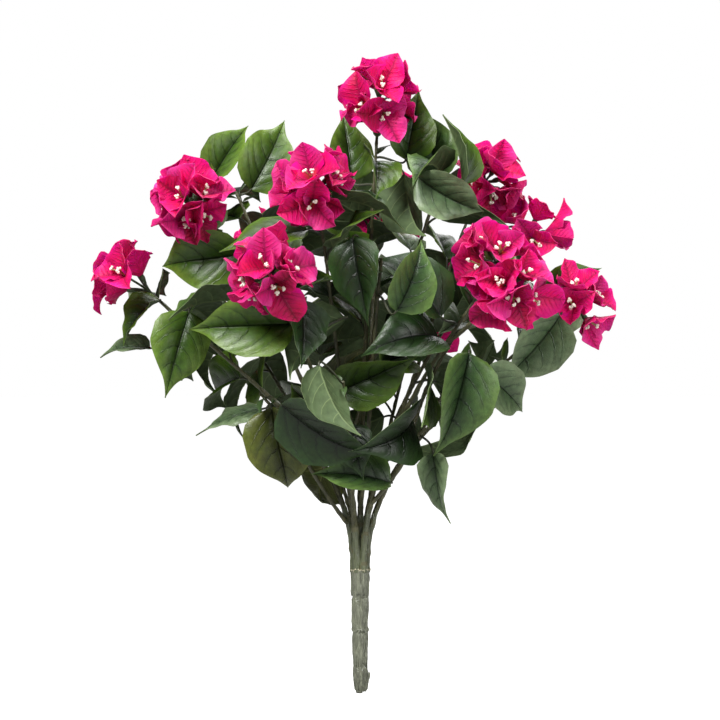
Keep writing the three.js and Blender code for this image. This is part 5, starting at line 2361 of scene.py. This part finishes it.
@dataclass
class Studio:
    """The white studio: a pale floor, four soft lights round the bush, and the photo's camera."""

    distance: float = 1.9
    eye_height: float = 0.29
    lens: float = 109.07
    sight: float = 40
    middle: float = 0.3
    floor_size: float = 30
    sky: float = 0.02
    floor_glow: tuple[float, float] = (0.0, 1.0)
    paper: tuple[int, int, int] = (158, 158, 157)

    def build(self) -> None:
        """Sets the camera, the lights, the surroundings and the floor."""
        eye = (0, -self.distance, self.eye_height)
        bpy.ops.object.camera_add(location=eye, rotation=(math.pi / 2, 0, 0))
        camera = bpy.context.object
        camera.data.lens = self.lens
        camera.data.clip_end = self.sight
        bpy.context.scene.camera = camera
        bpy.context.scene.view_settings.view_transform = "Standard"
        self.light("key", (-1.1, -1.5, 1.9), 0.9, 88)
        self.light("top", (0.3, -0.1, 2.3), 1.2, 44)
        self.light("fill", (1.7, -1.5, 0.9), 1.4, 32)
        self.light("back", (0.6, 1.8, 1.5), 1.4, 26)
        self.surround()
        self.floor()
        LOG.info("studio: camera, four lights, floor")

    def light(self, name: str, place: tuple[float, float, float], size: float, power: float) -> None:
        """Adds a soft square light that looks at the middle of the bush.

        Args:
            name: its name, without the word light.
            place: where it hangs, in metres.
            size: the length of its side, in metres.
            power: its power, in watts.
        """
        bpy.ops.object.light_add(type="AREA", location=place)
        light = bpy.context.object
        light.name = f"{name}_light"
        light.data.size = size
        light.data.energy = power
        ahead = Vector((0, 0, self.middle)) - Vector(place)
        light.rotation_euler = ahead.to_track_quat("-Z", "Y").to_euler()

    def surround(self) -> None:
        """Makes the surroundings white where the camera sees them, and softer as a light."""
        world = bpy.data.worlds.new("studio")
        world.use_nodes = True
        background = world.node_tree.nodes["Background"]
        background.inputs["Color"].default_value = (1, 1, 1, 1)
        self.glow(world.node_tree, background.inputs["Strength"], self.sky, 1)
        bpy.context.scene.world = world

    @staticmethod
    def glow(tree: bpy.types.NodeTree, strength: bpy.types.NodeSocket, lit: float, seen: float) -> None:
        """Makes something shine on the bush with one strength and show itself with another.

        Args:
            tree: the nodes of its material.
            strength: the socket with its strength.
            lit: the strength with which it shines.
            seen: that with which it shows itself.
        """
        path = tree.nodes.new("ShaderNodeLightPath")
        between = tree.nodes.new("ShaderNodeMapRange")
        set_inputs(between, {"To Min": lit, "To Max": seen})
        tree.links.new(path.outputs["Is Camera Ray"], between.inputs["Value"])
        tree.links.new(between.outputs["Result"], strength)

    def floor(self) -> None:
        """Lays the pale floor."""
        bpy.ops.mesh.primitive_plane_add(size=self.floor_size, location=(0, 0, 0))
        floor = bpy.context.object
        floor.name = "floor"
        finish = Finish("floor_paper", self.paper, roughness=0.9, patch_amount=0.02, depth=0)
        material = finish.material()
        shader = material.node_tree.nodes["Principled BSDF"]
        shader.inputs["Emission Color"].default_value = (1, 1, 1, 1)
        self.glow(material.node_tree, shader.inputs["Emission Strength"], *self.floor_glow)
        floor.data.materials.append(material)
        floor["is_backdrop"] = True


def plain(corners: tuple[Vector, Vector]) -> list[list[float]]:
    """A box's two corners as plain lists."""
    return [list(corner) for corner in corners]


def main(cad_box: tuple[Vector, Vector]) -> None:
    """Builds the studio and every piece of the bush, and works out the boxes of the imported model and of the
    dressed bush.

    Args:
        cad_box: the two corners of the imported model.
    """
    logging.basicConfig(level=logging.INFO, format="%(message)s")
    Studio().build()
    bush = Bush(SPRAYS)
    Stem().build()
    boughs = Boughs(
        "boughs_bark", 10, lambda limb: [f"bough_{limb.spray.name}"], lambda limb: (0, limb.spray.bare), 26
    )
    boughs.build(bush)
    Boughs("twigs", 8, lambda limb: [], lambda limb: (limb.spray.bare, 1), 19).build(bush)
    Stalks().build(bush)
    Leaves().build(bush)
    Leaflets().build(bush)
    Bracts().build(bush)
    Florets().build(bush)
    {"cad": plain(cad_box), "visual": plain(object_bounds())}


if __name__ == "__main__":
    main(CAD_BOX)
